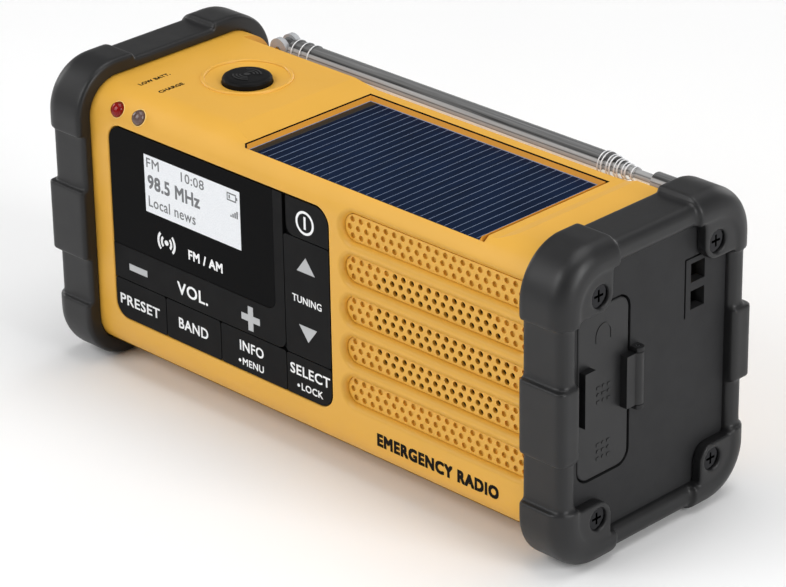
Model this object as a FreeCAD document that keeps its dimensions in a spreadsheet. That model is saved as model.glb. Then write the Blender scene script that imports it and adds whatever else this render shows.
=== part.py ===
import FreeCAD, Part
import math
import os
import re
import Sketcher
from FreeCAD import Placement, Rotation, Vector

# Portable emergency radio: yellow two-part case between two rubber bumpers, solar cell on top,
# control panel and loudspeaker in front, fold-out crank and battery bay at the back, torch on
# the left end and sockets under a hinged cover on the right end.
# Frame: X to the right seen from the front, Y to the back, Z up, origin under the middle.

doc = FreeCAD.newDocument("portable_radio")

DIMENSIONS = [
    ("total_width", 200.0, "outer faces of the two bumpers"),
    ("total_depth", 75.0, "over the bumper pads"),
    ("total_height", 91.7, "over the bumper pads"),
    ("pad_proud", 1.6, "pads over the bumper bar"),
    ("bar_proud", 3.1, "bumper bar over the case"),
    ("case_radius", 10.5, "long edges of the case"),
    ("case_depth", 65.6, "case, front to back"),
    ("case_height", 82.3, "case, bottom to top"),
    ("case_end", 90.0, "case ends, from the middle"),
    ("seen_end", 84.45, "inner edge of a bumper, from the middle"),
    ("wall_thick", 2.6, "case wall"),
    ("mid_level", 45.85, "height of the case's middle"),
    ("roof_level", 80.5, "inner roof of the front shell"),
    ("split_depth", 22.0, "joint between the shells, behind the middle"),
    ("channel_floor", 80.0, "floor of the antenna channel"),
    ("channel_left", -79.5, "left end of the antenna channel"),
    ("plate_half_depth", 29.9, "end plate, half its depth"),
    ("plate_half_height", 37.9, "end plate, half its height"),
    ("plate_face", 96.2, "outer face of an end plate, from the middle"),
    ("plate_radius", 8.0, "corners of an end plate"),
    ("bar_end", 98.6, "outer end face of the bumper bar"),
    ("pad_low_edge", 72.0, "lower edge of the upper corner pads"),
    ("pad_arm", 22.0, "corner pad along the top, from the face"),
    ("mid_pad_height", 21.4, "pads half way up"),
    ("mid_pad_level", 44.5, "middle of those pads"),
    ("screw_y_span", 45.4, "end screws, front to back"),
    ("screw_z_span", 63.9, "end screws, low to high"),
    ("lug_radius", 4.8, "rubber round an end screw"),
    ("screw_head_radius", 3.1, "end screw head"),
    ("lug_face", 99.6, "outer face of that rubber, from the middle"),
    ("panel_left", -77.5, "control panel opening"),
    ("panel_right", 11.35, "control panel opening"),
    ("panel_low", 17.8, "control panel opening"),
    ("panel_high", 77.7, "control panel opening"),
    ("panel_radius", 5.0, "corners of the control panel"),
    ("panel_lip", 0.6, "rounding of the control panel opening"),
    ("key_gap", 0.15, "half the gap between neighbouring keys"),
    ("key_face", -32.6, "front of the keys"),
    ("bezel_face", -30.9, "front of the plate behind the keys"),
    ("bezel_back", -28.9, "back of that plate"),
    ("key_thick", 1.05, "thickness of a key cap"),
    ("key_corner", 3.0, "rounded corners between the keys"),
    ("lens_low", 41.0, "lower edge of the display window"),
    ("lens_right", -10.3, "right edge of the display window"),
    ("column_left", -6.5, "left edge of the right key column"),
    ("row_high", 30.3, "upper edge of the lower key row"),
    ("power_low", 66.0, "lower edge of the power key"),
    ("slot_left", 16.5, "speaker slots"),
    ("slot_right", 84.2, "speaker slots"),
    ("slot_height", 8.0, "speaker slots"),
    ("slot_pitch", 12.05, "speaker slots, centre to centre"),
    ("slot_flare", 1.2, "rounding of the speaker slots' edges"),
    ("island_face", -31.4, "perforated floor of the speaker slots"),
    ("speaker_x", 51.5, "speaker axis"),
    ("speaker_z", 51.0, "speaker axis"),
    ("speaker_radius", 28.5, "speaker frame"),
    ("hole_pitch", 3.1, "grille holes"),
    ("hole_radius", 0.85, "grille holes"),
    ("solar_left", -24.2, "solar cell recess"),
    ("solar_right", 65.25, "solar cell recess"),
    ("solar_front", -29.2, "solar cell recess"),
    ("solar_back", 18.9, "solar cell recess"),
    ("solar_floor", 82.8, "solar cell recess"),
    ("solar_thick", 1.6, "solar cell"),
    ("solar_inset", 1.0, "space round the solar cell"),
    ("trough_level", 85.7, "lowered top face round the cell"),
    ("siren_x", -56.0, "siren button axis"),
    ("siren_y", 1.5, "siren button axis"),
    ("siren_radius", 7.2, "siren button"),
    ("dish_radius", 12.35, "finger dish round the siren button"),
    ("dish_sphere", 39.1, "sphere that the finger dish is cut with"),
    ("led_radius", 2.3, "indicator lamps"),
    ("led_angle", 32.0, "indicator lamps lean up from level"),
    ("antenna_y", 29.5, "antenna axis when stowed"),
    ("antenna_z", 84.4, "antenna axis when stowed"),
    ("antenna_pivot", -69.5, "antenna tilt pin"),
    ("antenna_radius", 3.5, "outermost antenna tube"),
    ("fork_stud_radius", 2.0, "stud that the antenna fork turns on"),
    ("knuckle_radius", 3.4, "round ends of the antenna fork"),
    ("crank_x", 22.0, "crank axis"),
    ("bowl_radius", 29.5, "round bowl that the crank folds into"),
    ("bowl_floor", 15.2, "floor of that bowl"),
    ("bowl_wall", 2.0, "wall of that bowl"),
    ("hub_radius", 9.0, "crank hub"),
    ("shaft_radius", 3.0, "crank shaft"),
    ("hinge_reach", 6.5, "crank arm hinge from the crank axis"),
    ("arm_length", 24.5, "crank arm hinge to knob axis"),
    ("arm_hinge_y", 32.85, "crank arm hinge"),
    ("knob_radius", 6.5, "crank knob"),
    ("gear_module", 0.8, "tooth size of the crank gears"),
    ("cell_radius", 9.2, "lithium cell"),
    ("cell_length", 65.0, "lithium cell"),
    ("cell_y", 21.3, "lithium cell axis"),
    ("door_left", -82.9, "battery door"),
    ("door_right", -16.1, "battery door"),
    ("door_height", 26.0, "battery door"),
    ("cover_front", -27.4, "port cover"),
    ("cover_back", -8.1, "port cover"),
    ("cover_low", 24.4, "port cover"),
    ("cover_high", 72.9, "port cover"),
    ("cover_radius", 4.0, "corners of the port cover"),
    ("cover_gap", 0.55, "gap round the port cover"),
    ("hinge_low", 41.2, "lower end of the port cover's hinge barrel"),
    ("hinge_high", 56.1, "upper end of that barrel"),
    ("hinge_radius", 1.7, "that barrel"),
    ("cover_hinge_x", 97.6, "port cover hinge pin"),
    ("cover_hinge_y", -6.2, "port cover hinge pin"),
    ("port_y", -18.5, "axis of the sockets"),
    ("jack_bore", 1.8, "headphone jack bore radius"),
    ("torch_radius", 16.0, "torch lens"),
    ("running_gap", 0.06, "radial clearance of a turning fit"),
]

CRANK_TEETH = 60
IDLER_PINION_TEETH = 15
IDLER_WHEEL_TEETH = 50
GENERATOR_TEETH = 10

sheet = doc.addObject("Spreadsheet::Sheet", "dims")
sheet.Label = "dims"
for row, (alias, size, note) in enumerate(DIMENSIONS, start=1):
    sheet.set("A%d" % row, alias)
    sheet.set("B%d" % row, repr(size))
    sheet.set("C%d" % row, note)
    sheet.setAlias("B%d" % row, alias)
doc.recompute()


# ---------------------------------------------------------------- formulas and primitives
def formula(text):
    """Point every alias in a formula at the spreadsheet."""
    return re.sub(r"[a-z]+(?:_[a-z]+)+", lambda found: "dims." + found.group(0), str(text))


def number(text):
    """Work a formula out with the spreadsheet's values."""
    return float(sheet.evalExpression(formula(text)))


def bind(thing, name, text):
    """Bind one property of an object to a formula."""
    thing.setExpression(name, formula(text))


def place(thing, corner, turn=None):
    """Put an object at a corner given as three formulas, turned by a Rotation."""
    thing.Placement = Placement(Vector(0, 0, 0), turn or Rotation())
    for axis, text in zip("xyz", corner):
        bind(thing, "Placement.Base." + axis, text)


def box(name, low, high):
    """Part::Box between two corners given as formulas."""
    block = doc.addObject("Part::Box", name)
    for side, start, end in zip(("Length", "Width", "Height"), low, high):
        bind(block, side, "(%s) - (%s)" % (end, start))
    place(block, low)
    return block


TURN = {"x": Rotation(Vector(0, 1, 0), 90), "y": Rotation(Vector(1, 0, 0), -90), "z": Rotation()}


def cylinder(name, axis, start, length, radius):
    """Part::Cylinder from start along +X, +Y or +Z."""
    rod = doc.addObject("Part::Cylinder", name)
    bind(rod, "Radius", radius)
    bind(rod, "Height", length)
    place(rod, start, TURN[axis])
    return rod


def fuse(name, shapes):
    """Part::MultiFuse of several objects."""
    union = doc.addObject("Part::MultiFuse", name)
    union.Shapes = shapes
    return union


def cut(name, base, tools):
    """Part::Cut of one object by several."""
    trimmed = doc.addObject("Part::Cut", name)
    trimmed.Base = base
    trimmed.Tool = tools[0] if len(tools) == 1 else fuse(name + "_tools", tools)
    return trimmed


def common(name, shapes):
    """Part::MultiCommon of several objects."""
    shared = doc.addObject("Part::MultiCommon", name)
    shared.Shapes = shapes
    return shared


def group(name, shapes):
    """Several separate solids in one node."""
    bundle = doc.addObject("Part::Compound", name)
    bundle.Links = shapes
    return bundle


def edges_where(shape, test):
    """Numbers of the edges whose middle point and edge pass a test."""
    chosen = []
    for index, edge in enumerate(shape.Edges, start=1):
        middle = edge.valueAt((edge.FirstParameter + edge.LastParameter) / 2)
        if test(middle, edge):
            chosen.append(index)
    return chosen


def rounded(name, base, radius, test):
    """Part::Fillet of the edges that pass a test."""
    doc.recompute()
    chosen = edges_where(base.Shape, test)
    smooth = doc.addObject("Part::Fillet", name)
    smooth.Base = base
    smooth.Edges = [(index, number(radius), number(radius)) for index in chosen]
    return smooth


# ---------------------------------------------------------------- sketched bodies
NORMAL = {"XY_Plane": 1, "XZ_Plane": -1, "YZ_Plane": 1}


def new_body(name):
    """An empty PartDesign body."""
    return doc.addObject("PartDesign::Body", name)


def sketch_on(body, role, level):
    """A sketch on an origin plane, moved along the plane's axis to a level."""
    sketch = body.newObject("Sketcher::SketchObject", body.Name + "_sketch")
    origin_plane = [part for part in body.Origin.OriginFeatures if part.Role == role][0]
    sketch.AttachmentSupport = [(origin_plane, "")]
    sketch.MapMode = "FlatFace"
    sign = "" if NORMAL[role] > 0 else "-1 * "
    bind(sketch, ".AttachmentOffset.Base.z", "%s(%s)" % (sign, level))
    return sketch


def set_size(sketch, constraint, text):
    """Bind a constraint of a sketch to a formula."""
    bind(sketch, "Constraints[%d]" % constraint, text)


def hold_point(sketch, geometry, point, across, up):
    """Fix one point of a sketch to two formulas."""
    where = (("DistanceX", across), ("DistanceY", up))
    for kind, text in where:
        wanted = number(text)
        index = sketch.addConstraint(Sketcher.Constraint(kind, -1, 1, geometry, point, wanted))
        set_size(sketch, index, text)


def draw_circle(sketch, across, up, radius):
    """A circle held by its centre and radius."""
    centre = Vector(number(across), number(up), 0)
    ring = sketch.addGeometry(Part.Circle(centre, Vector(0, 0, 1), number(radius)))
    hold_point(sketch, ring, 3, across, up)
    index = sketch.addConstraint(Sketcher.Constraint("Radius", ring, number(radius)))
    set_size(sketch, index, radius)


def square_up(sketch, sides):
    """Keep the four sides of a rectangle level and upright, from the lowest."""
    for side, kind in zip(sides, ("Horizontal", "Vertical", "Horizontal", "Vertical")):
        sketch.addConstraint(Sketcher.Constraint(kind, side))


def draw_sharp_box(sketch, left, low, right, high):
    """A rectangle held by two opposite corners."""
    x0, y0, x1, y1 = number(left), number(low), number(right), number(high)
    corners = [Vector(x0, y0, 0), Vector(x1, y0, 0), Vector(x1, y1, 0), Vector(x0, y1, 0)]
    sides = [sketch.addGeometry(Part.LineSegment(a, b))
             for a, b in zip(corners, corners[1:] + corners[:1])]
    for first, second in zip(sides, sides[1:] + sides[:1]):
        sketch.addConstraint(Sketcher.Constraint("Coincident", first, 2, second, 1))
    square_up(sketch, sides)
    hold_point(sketch, sides[0], 1, left, low)
    hold_point(sketch, sides[2], 1, right, high)


def draw_box(sketch, left, low, right, high, radius="0"):
    """A rectangle with round corners, held by its four sides and its radius."""
    bend = number(radius)
    if bend <= 0:
        draw_sharp_box(sketch, left, low, right, high)
        return
    x0, y0, x1, y1 = number(left), number(low), number(right), number(high)
    ends = [
        (Vector(x0 + bend, y0, 0), Vector(x1 - bend, y0, 0)),
        (Vector(x1, y0 + bend, 0), Vector(x1, y1 - bend, 0)),
        (Vector(x1 - bend, y1, 0), Vector(x0 + bend, y1, 0)),
        (Vector(x0, y1 - bend, 0), Vector(x0, y0 + bend, 0)),
    ]
    centres = [Vector(x1 - bend, y0 + bend, 0), Vector(x1 - bend, y1 - bend, 0),
               Vector(x0 + bend, y1 - bend, 0), Vector(x0 + bend, y0 + bend, 0)]
    sides = [sketch.addGeometry(Part.LineSegment(a, b)) for a, b in ends]
    arcs = []
    for turn, centre in enumerate(centres):
        start = (turn - 1) * math.pi / 2
        circle = Part.Circle(centre, Vector(0, 0, 1), bend)
        arcs.append(sketch.addGeometry(Part.ArcOfCircle(circle, start, start + math.pi / 2)))
    for turn in range(4):
        sketch.addConstraint(Sketcher.Constraint("Tangent", sides[turn], 2, arcs[turn], 1))
        following = sides[(turn + 1) % 4]
        sketch.addConstraint(Sketcher.Constraint("Tangent", arcs[turn], 2, following, 1))
    square_up(sketch, sides)
    for arc in arcs[1:]:
        sketch.addConstraint(Sketcher.Constraint("Equal", arcs[0], arc))
    index = sketch.addConstraint(Sketcher.Constraint("Radius", arcs[0], bend))
    set_size(sketch, index, radius)
    for side, kind, text in ((sides[0], "DistanceY", low), (sides[1], "DistanceX", right),
                             (sides[2], "DistanceY", high), (sides[3], "DistanceX", left)):
        held = Sketcher.Constraint(kind, -1, 1, side, 1, number(text))
        set_size(sketch, sketch.addConstraint(held), text)


def pad(body, sketch, length):
    """Pad a sketch towards +X, +Y or +Z."""
    feature = body.newObject("PartDesign::Pad", body.Name + "_pad")
    feature.Profile = sketch
    bind(feature, "Length", length)
    feature.Reversed = sketch.getGlobalPlacement().Rotation.multVec(Vector(0, 0, 1)).y < -0.5
    doc.recompute()
    return feature


def pocket(body, sketch, length):
    """Pocket a sketch towards +X, +Y or +Z, and check that it cut."""
    before = body.Shape.Volume
    feature = body.newObject("PartDesign::Pocket", body.Name + "_pocket")
    feature.Profile = sketch
    bind(feature, "Length", length)
    feature.Reversed = sketch.getGlobalPlacement().Rotation.multVec(Vector(0, 0, 1)).y > -0.5
    doc.recompute()
    if body.Shape.Volume > before - 1e-6:
        raise ValueError("pocket cut nothing in " + body.Name)
    return feature


def plate(name, role, level, thickness, outline, holes=()):
    """A body: an outline padded from a level, with holes cut right through."""
    body = new_body(name)
    sketch = sketch_on(body, role, level)
    draw_box(sketch, *outline)
    doc.recompute()
    pad(body, sketch, thickness)
    if holes:
        window = sketch_on(body, role, "(%s) - 1" % level)
        for hole in holes:
            if len(hole) == 3:
                draw_circle(window, *hole)
            else:
                draw_box(window, *hole)
        doc.recompute()
        pocket(body, window, "(%s) + 2" % thickness)
    return body


def lathe(name, axis, centre, profile):
    """A body turned about a line along X, Y or Z through centre: (station, radius) pairs."""
    body = new_body(name)
    sketch = body.newObject("Sketcher::SketchObject", name + "_sketch")
    origin_plane = [part for part in body.Origin.OriginFeatures if part.Role == "XZ_Plane"][0]
    sketch.AttachmentSupport = [(origin_plane, "")]
    sketch.MapMode = "FlatFace"
    points = [Vector(number(radius), number(station), 0) for station, radius in profile]
    lines = []
    for first, second in zip(points, points[1:] + points[:1]):
        lines.append(sketch.addGeometry(Part.LineSegment(first, second)))
    for first, second in zip(lines, lines[1:] + lines[:1]):
        sketch.addConstraint(Sketcher.Constraint("Coincident", first, 2, second, 1))
    for line, (station, radius) in zip(lines, profile):
        hold_point(sketch, line, 1, radius, station)
    doc.recompute()
    turned = body.newObject("PartDesign::Revolution", name + "_turned")
    turned.Profile = sketch
    turned.ReferenceAxis = (sketch, ["V_Axis"])
    turned.Angle = 360
    doc.recompute()
    place(body, centre, TURN[axis])
    return body


# ---------------------------------------------------------------- cases and ends
def case_block(name, extra="0", start="-1 * case_end", length="2 * case_end"):
    """The rounded box of the case, grown by extra on its long faces."""
    half = "case_depth / 2 + (%s)" % extra
    return plate(name, "YZ_Plane", start, length,
                 ("-1 * (%s)" % half, "mid_level - case_height / 2 - (%s)" % extra, half,
                  "mid_level + case_height / 2 + (%s)" % extra, "case_radius + (%s)" % extra))


LAMP_PLACES = (-74.2, -65.3)
POST_PLACES = [(side * 86.5, level) for side in (-1, 1) for level in (21.0, 70.5)]


def slot_levels():
    """Heights of the five speaker slots, from the lowest."""
    return ["speaker_z + %d * slot_pitch" % step for step in (-2, -1, 0, 1, 2)]


def front_shell():
    """Front, top and bottom of the case, with the openings for what it carries."""
    front = "-1 * case_depth / 2"
    inner_low = "mid_level - case_height / 2 + wall_thick"
    hollow = plate("front_hollow", "YZ_Plane", "-1 * case_end - 1", "2 * case_end + 2",
                   (front + " + wall_thick", inner_low, "60", "roof_level", "0.6"))
    behind = box("front_behind", ("-120", "split_depth", "-10"), ("120", "60", "120"))
    shell = cut("front_hollowed", case_block("front_block"), [hollow, behind])
    posts = [cylinder("front_post%d" % index, "y", (x, front + " + 1", z), "57.3", "2.6")
             for index, (x, z) in enumerate(POST_PLACES)]
    shell = fuse("front_with_posts", [shell] + posts)
    tools = [plate("panel_opening", "XZ_Plane", "-36", "10",
                   ("panel_left", "panel_low", "panel_right", "panel_high", "panel_radius"))]
    tools += [slot_block("slot_opening%d" % index, level, "-36", "9", "0")
              for index, level in enumerate(slot_levels())]
    tools.append(box("solar_opening", ("solar_left", "solar_front", "solar_floor"),
                     ("solar_right", "solar_back", "100")))
    tools.append(box("solar_wire_hole", ("0", "-8", "70"), ("6", "-2", "90")))
    tools.append(cylinder("siren_hole", "z", ("siren_x", "siren_y", "70"), "40",
                          "siren_radius + 0.25"))
    dish = doc.addObject("Part::Sphere", "siren_dish")
    bind(dish, "Radius", "dish_sphere")
    place(dish, ("siren_x", "siren_y", "mid_level + case_height / 2 - 2 + dish_sphere"))
    tools.append(dish)
    tools.append(top_trough())
    for index, x in enumerate(LAMP_PLACES):
        tools.append(led_rod("led_hole%d" % index, x, "-9", "14", "led_radius + 0.05"))
    for index, (x, z) in enumerate(POST_PLACES):
        tools.append(cylinder("post_thread%d" % index, "y", (x, "14", z), "20", "1.5"))
    pierced = fuse("front_with_bead", [cut("front_pierced", shell, tools), siren_bead()])
    lipped = rounded("front_lipped", pierced, "panel_lip", on_panel_edge)
    return rounded("front_shell", lipped, "slot_flare", on_slot_edge)


def slot_block(name, level, start, length, inset):
    """A block with half-round ends that fills one speaker slot, less an inset all round."""
    radius = "slot_height / 2 - %s" % inset
    left, right = "slot_left + slot_height / 2", "slot_right - slot_height / 2"
    middle_part = box(name + "_middle", (left, start, level + " - (%s)" % radius),
                      (right, start + " + " + length, level + " + " + radius))
    ends = [cylinder("%s_end%d" % (name, index), "y", (x, start, level), length, radius)
            for index, x in enumerate((left, right))]
    return fuse(name, [middle_part] + ends)


def on_front_face(spot):
    """True for a point on the flat front of the case."""
    return abs(spot.y + number("case_depth / 2")) < 1e-3


def on_panel_edge(spot, edge):
    """True for the front edges of the control panel opening."""
    inside = number("panel_left") - 1 < spot.x < number("panel_right") + 1
    return on_front_face(spot) and inside and edge.BoundBox.ZLength < 70 and spot.z > 12


def on_slot_edge(spot, edge):
    """True for the front edges of the speaker slots."""
    beside = number("slot_left") - 1 < spot.x < number("slot_right") + 1
    between = abs(spot.z - number("speaker_z")) < 2.5 * number("slot_pitch")
    return on_front_face(spot) and beside and between


def siren_bead():
    """Low ring round the finger dish of the siren button."""
    bead = doc.addObject("Part::Torus", "siren_bead")
    bind(bead, "Radius1", "dish_radius + 0.3")
    bead.Radius2 = 0.4
    place(bead, ("siren_x", "siren_y", "mid_level + case_height / 2"))
    return bead


def top_trough():
    """Wedge-sided block that lowers the top face round the solar cell."""
    top = number("mid_level + case_height / 2")
    low = number("trough_level")
    outline = [(-33.5, top), (-24.5, low), (68.0, low), (72.0, top), (72.0, top + 9),
               (-33.5, top + 9)]
    corners = [Vector(x, -60, z) for x, z in outline]
    face = Part.Face(Part.makePolygon(corners + corners[:1]))
    trough = doc.addObject("Part::Feature", "top_trough")
    trough.Shape = face.extrude(Vector(0, 100, 0))
    return trough


def led_rod(name, x, start, length, radius):
    """A rod square to the rounded top front edge, its start measured from the surface."""
    lean = math.radians(number("led_angle"))
    back = number("case_radius") + number(start)
    centre_y = -number("case_depth") / 2 + number("case_radius")
    centre_z = number("mid_level + case_height / 2 - case_radius")
    rod = doc.addObject("Part::Cylinder", name)
    bind(rod, "Radius", radius)
    bind(rod, "Height", length)
    direction = Vector(0, -math.cos(lean), math.sin(lean))
    rod.Placement = Placement(Vector(x, centre_y, centre_z) + direction * back,
                              Rotation(Vector(0, 0, 1), direction))
    return rod


def rear_shell():
    """Back of the case, with the antenna channel, crank bowl and battery bay opening."""
    back = "case_depth / 2"
    inner_low = "mid_level - case_height / 2 + wall_thick"
    keep = box("rear_keep", ("-120", "split_depth", "-10"), ("120", "60", "120"))
    half = common("rear_half", [case_block("rear_block"), keep])
    lip = box("rear_lip", ("-1 * case_end + 6", "split_depth - 2", "channel_floor - wall_thick"),
              ("case_end - 6", "split_depth + 1", "channel_floor"))
    hollow = box("rear_hollow", ("-120", "0", inner_low),
                 ("120", back + " - wall_thick", "channel_floor - wall_thick"))
    channel = box("antenna_channel", ("channel_left", "0", "channel_floor"),
                  ("seen_end", "60", "120"))
    post_room = [cylinder("rear_post_room%d" % index, "y", (x, "0", z), "25.55", "2.8")
                 for index, (x, z) in enumerate(POST_PLACES)]
    shell = cut("rear_hollowed", fuse("rear_solid", [half, lip]), [hollow, channel] + post_room)
    bowl = cylinder("bowl_outer", "y", ("crank_x", "bowl_floor - bowl_wall", "mid_level"),
                    back + " - 0.5 - bowl_floor + bowl_wall", "bowl_radius + bowl_wall")
    bosses = [cylinder("rear_boss%d" % index, "y", (x, "25.6", z), "6", "3.4")
              for index, (x, z) in enumerate(POST_PLACES)]
    shell = fuse("rear_with_bowl", [shell, bowl] + bosses)
    tools = [
        cylinder("fork_bearing", "z", ("antenna_pivot", "antenna_y", "70"), "15",
                 "fork_stud_radius + running_gap"),
        cylinder("fork_ring_pocket", "z", ("antenna_pivot", "antenna_y", "74"),
                 "channel_floor - wall_thick - 74", "2.65"),
        cylinder("bowl_inner", "y", ("crank_x", "bowl_floor", "mid_level"), "40", "bowl_radius"),
        cylinder("shaft_hole", "y", ("crank_x", "5", "mid_level"), "20",
                 "shaft_radius + running_gap"),
        box("door_opening", ("door_left - 0.3", "10", "mid_level - door_height / 2 - 0.3"),
            ("door_right + 0.3", "50", "mid_level + door_height / 2 + 0.3")),
    ]
    for index, (x, z) in enumerate(POST_PLACES):
        tools.append(cylinder("rear_screw_hole%d" % index, "y", (x, "20", z), "30", "1.6"))
        tools.append(cylinder("rear_head_hole%d" % index, "y", (x, "28.6", z), "30", "3.2"))
    tools += end_screw_rods("shell_screw_hole", 1, "80", "30", "1.5")
    tools += end_screw_rods("shell_screw_hole_left", -1, "80", "30", "1.5")
    return cut("rear_shell", shell, tools)


SCREW_PLACES = [(front, level) for front in (-1, 1) for level in (-1, 1)]


def end_screw_place(front, level):
    """Formulas for the depth and height of one end screw."""
    return "%d * screw_y_span / 2" % front, "mid_level + %d * screw_z_span / 2" % level


def end_block(name, start, length, shrink="0"):
    """The outline of an end plate, padded along X."""
    deep = "plate_half_depth - (%s)" % shrink
    high = "plate_half_height - (%s)" % shrink
    return plate(name, "YZ_Plane", start, length,
                 ("-1 * (%s)" % deep, "mid_level - (%s)" % high, deep, "mid_level + (%s)" % high,
                  "plate_radius - (%s)" % shrink))


def mirrored(name, source):
    """Part::Mirroring of an object about the middle plane."""
    twin = doc.addObject("Part::Mirroring", name)
    twin.Source = source
    twin.Normal = (1, 0, 0)
    return twin


def end_screw_rods(name, side, start, length, radius):
    """Four rods along X at the end screws' places."""
    base = start if side > 0 else "-1 * (%s) - (%s)" % (start, length)
    rods = []
    for index, (front, level) in enumerate(SCREW_PLACES):
        y, z = end_screw_place(front, level)
        rods.append(cylinder("%s%d" % (name, index), "x", (base, y, z), length, radius))
    return rods


def end_plate_right():
    """Right end plate: sockets behind a cover, and two eyelets for a hand strap."""
    block = end_block("right_plate_block", "case_end", "plate_face - case_end")
    lug_levels = ("hinge_low - 1.4", "hinge_high + 0.2")
    hinge_lugs = [cylinder("cover_lug%d" % index, "z", ("cover_hinge_x", "cover_hinge_y", low),
                           "1.2", "hinge_radius") for index, low in enumerate(lug_levels)]
    lug_feet = [box("cover_lug_foot%d" % index, ("96", "cover_hinge_y - hinge_radius", low),
                    ("cover_hinge_x", "cover_hinge_y + hinge_radius", low + " + 1.2"))
                for index, low in enumerate(lug_levels)]
    solid = fuse("right_plate_solid", [block] + hinge_lugs + lug_feet)
    tools = [
        plate("cover_pocket", "YZ_Plane", "93.6", "9",
              ("cover_front - cover_gap", "cover_low - cover_gap", "cover_back + cover_gap",
               "cover_high + cover_gap", "cover_radius + cover_gap")),
        box("hinge_relief", ("95.2", "cover_back", "hinge_low - 0.1"),
            ("100", "cover_hinge_y + 2.2", "hinge_high + 0.1")),
        cylinder("cover_pin_hole", "z", ("cover_hinge_x", "cover_hinge_y", "37"), "24", "0.8"),
        cylinder("jack_hole", "x", ("80", "port_y", "64"), "30", "3.5"),
        box("usb_c_hole", ("80", "port_y - 4.6", "45"), ("98", "port_y + 4.6", "49.2")),
        box("usb_a_hole", ("80", "port_y - 6.8", "28.2"), ("98", "port_y + 6.8", "35.2")),
        box("strap_space", ("80", "15.4", "58.7"), ("93.2", "22.1", "73.4")),
    ]
    for index, (low, high) in enumerate((("59.3", "64.7"), ("67.1", "72.6"))):
        tools.append(box("strap_hole%d" % index, ("80", "16", low), ("120", "21.5", high)))
    slit_left, slit_low, slit_high = "13.5", "57.4", "74.6"
    tools.append(box("strap_slit_side", ("plate_face - 0.6", slit_left, slit_low),
                     ("99", slit_left + " + 0.6", slit_high)))
    tools.append(box("strap_slit_top", ("plate_face - 0.6", slit_left, slit_high + " - 0.6"),
                     ("99", "23.6", slit_high)))
    tools += end_screw_rods("right_screw_hole", 1, "80", "30", "1.6")
    return cut("end_plate_right", solid, tools)


def end_plate_left():
    """Left end plate with the round opening of the torch."""
    block = end_block("left_plate_block", "-1 * plate_face", "plate_face - case_end")
    tools = [
        cylinder("torch_hole", "x", ("-100", "0", "mid_level"), "20", "torch_radius - 1.2"),
        cylinder("torch_seat", "x", ("-100", "0", "mid_level"), "100 - plate_face + 2.2",
                 "torch_radius + 0.1"),
    ]
    tools += end_screw_rods("left_screw_hole", -1, "80", "30", "1.6")
    return cut("end_plate_left", block, tools)


def pad_blocks():
    """Blocks that mark where the corner pads lie, and the block of the pads half way up."""
    reach = "total_depth / 2"
    low = "total_height - pad_low_edge"
    blocks = []
    for index, side in enumerate((-1, 1)):
        y = ["-60", "-1 * %s + pad_arm" % reach] if side < 0 else [reach + " - pad_arm", "60"]
        blocks.append(box("pad_low%d" % index, ("60", y[0], "-5"), ("120", y[1], low)))
        blocks.append(box("pad_high%d" % index, ("60", y[0], "pad_low_edge"),
                          ("120", y[1], "120")))
    side_block = box("pad_mid", ("60", "-60", "mid_pad_level - mid_pad_height / 2"),
                     ("120", "60", "mid_pad_level + mid_pad_height / 2"))
    return blocks, side_block


def rubber_ring(name, extra, end, outer_bend, inner_bend):
    """Rubber ring round the case end: grown by extra, out to end, with rounded edges."""
    block = case_block(name + "_block", extra, "seen_end", "(%s) - seen_end" % end)
    face, back = number(end), number("seen_end")
    opening = end_block(name + "_opening", "case_end", "30", "-0.05")
    ring = cut(name + "_ring", rounded(
        name + "_outer", block, outer_bend, lambda spot, edge: abs(spot.x - face) < 1e-3),
        [opening])
    deep, high = number("plate_half_depth + 0.6"), number("plate_half_height + 0.6")
    middle_level = number("mid_level")
    inner = rounded(name + "_inner", ring, inner_bend, lambda spot, edge: abs(
        spot.x - face) < 1e-3 and abs(spot.y) < deep and abs(spot.z - middle_level) < high)
    return rounded(name, inner, "1.2", lambda spot, edge: abs(spot.x - back) < 1e-3)


def bumper():
    """Right bumper: a rounded bar round the case end, thicker pads and four screw lugs."""
    corner_pads, side_pads = pad_blocks()
    bar = rubber_ring("bumper_bar", "bar_proud", "bar_end", "2.6", "2.2")
    thick = rubber_ring("bumper_corner", "bar_proud + pad_proud", "total_width / 2", "5.5", "1.5")
    middle_ring = rubber_ring("bumper_side", "bar_proud + pad_proud", "total_width / 2 - 0.2",
                              "2.2", "1.5")
    pads = [common("corner_pads_cut", [thick, fuse("corner_places", corner_pads)]),
            common("side_pads_cut", [middle_ring, side_pads])]
    sleeve = case_block("bumper_sleeve", "0.03", "60", "case_end - 60")
    ring = cut("bumper_ring", fuse("bumper_solid", [bar] + pads), [sleeve])
    frame = end_block("lug_frame", "plate_face + 0.02", "lug_face - plate_face - 0.02", "-2.5")
    lugs = fuse("lug_rods", end_screw_rods("lug_rod", 1, "plate_face + 0.02",
                                           "lug_face - plate_face - 0.02", "lug_radius"))
    corners = [box("lug_web%d" % index,
                   ("plate_face + 0.02", y_low, z_low), ("lug_face", y_high, z_high))
               for index, (y_low, z_low, y_high, z_high) in enumerate(lug_webs())]
    webs = common("lug_parts", [fuse("lug_all", [lugs] + corners), frame])
    holes = end_screw_rods("lug_hole", 1, "plate_face", "30", "screw_head_radius + 0.1")
    return cut("bumper_right", fuse("bumper_with_lugs", [ring, webs]), holes)


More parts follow.
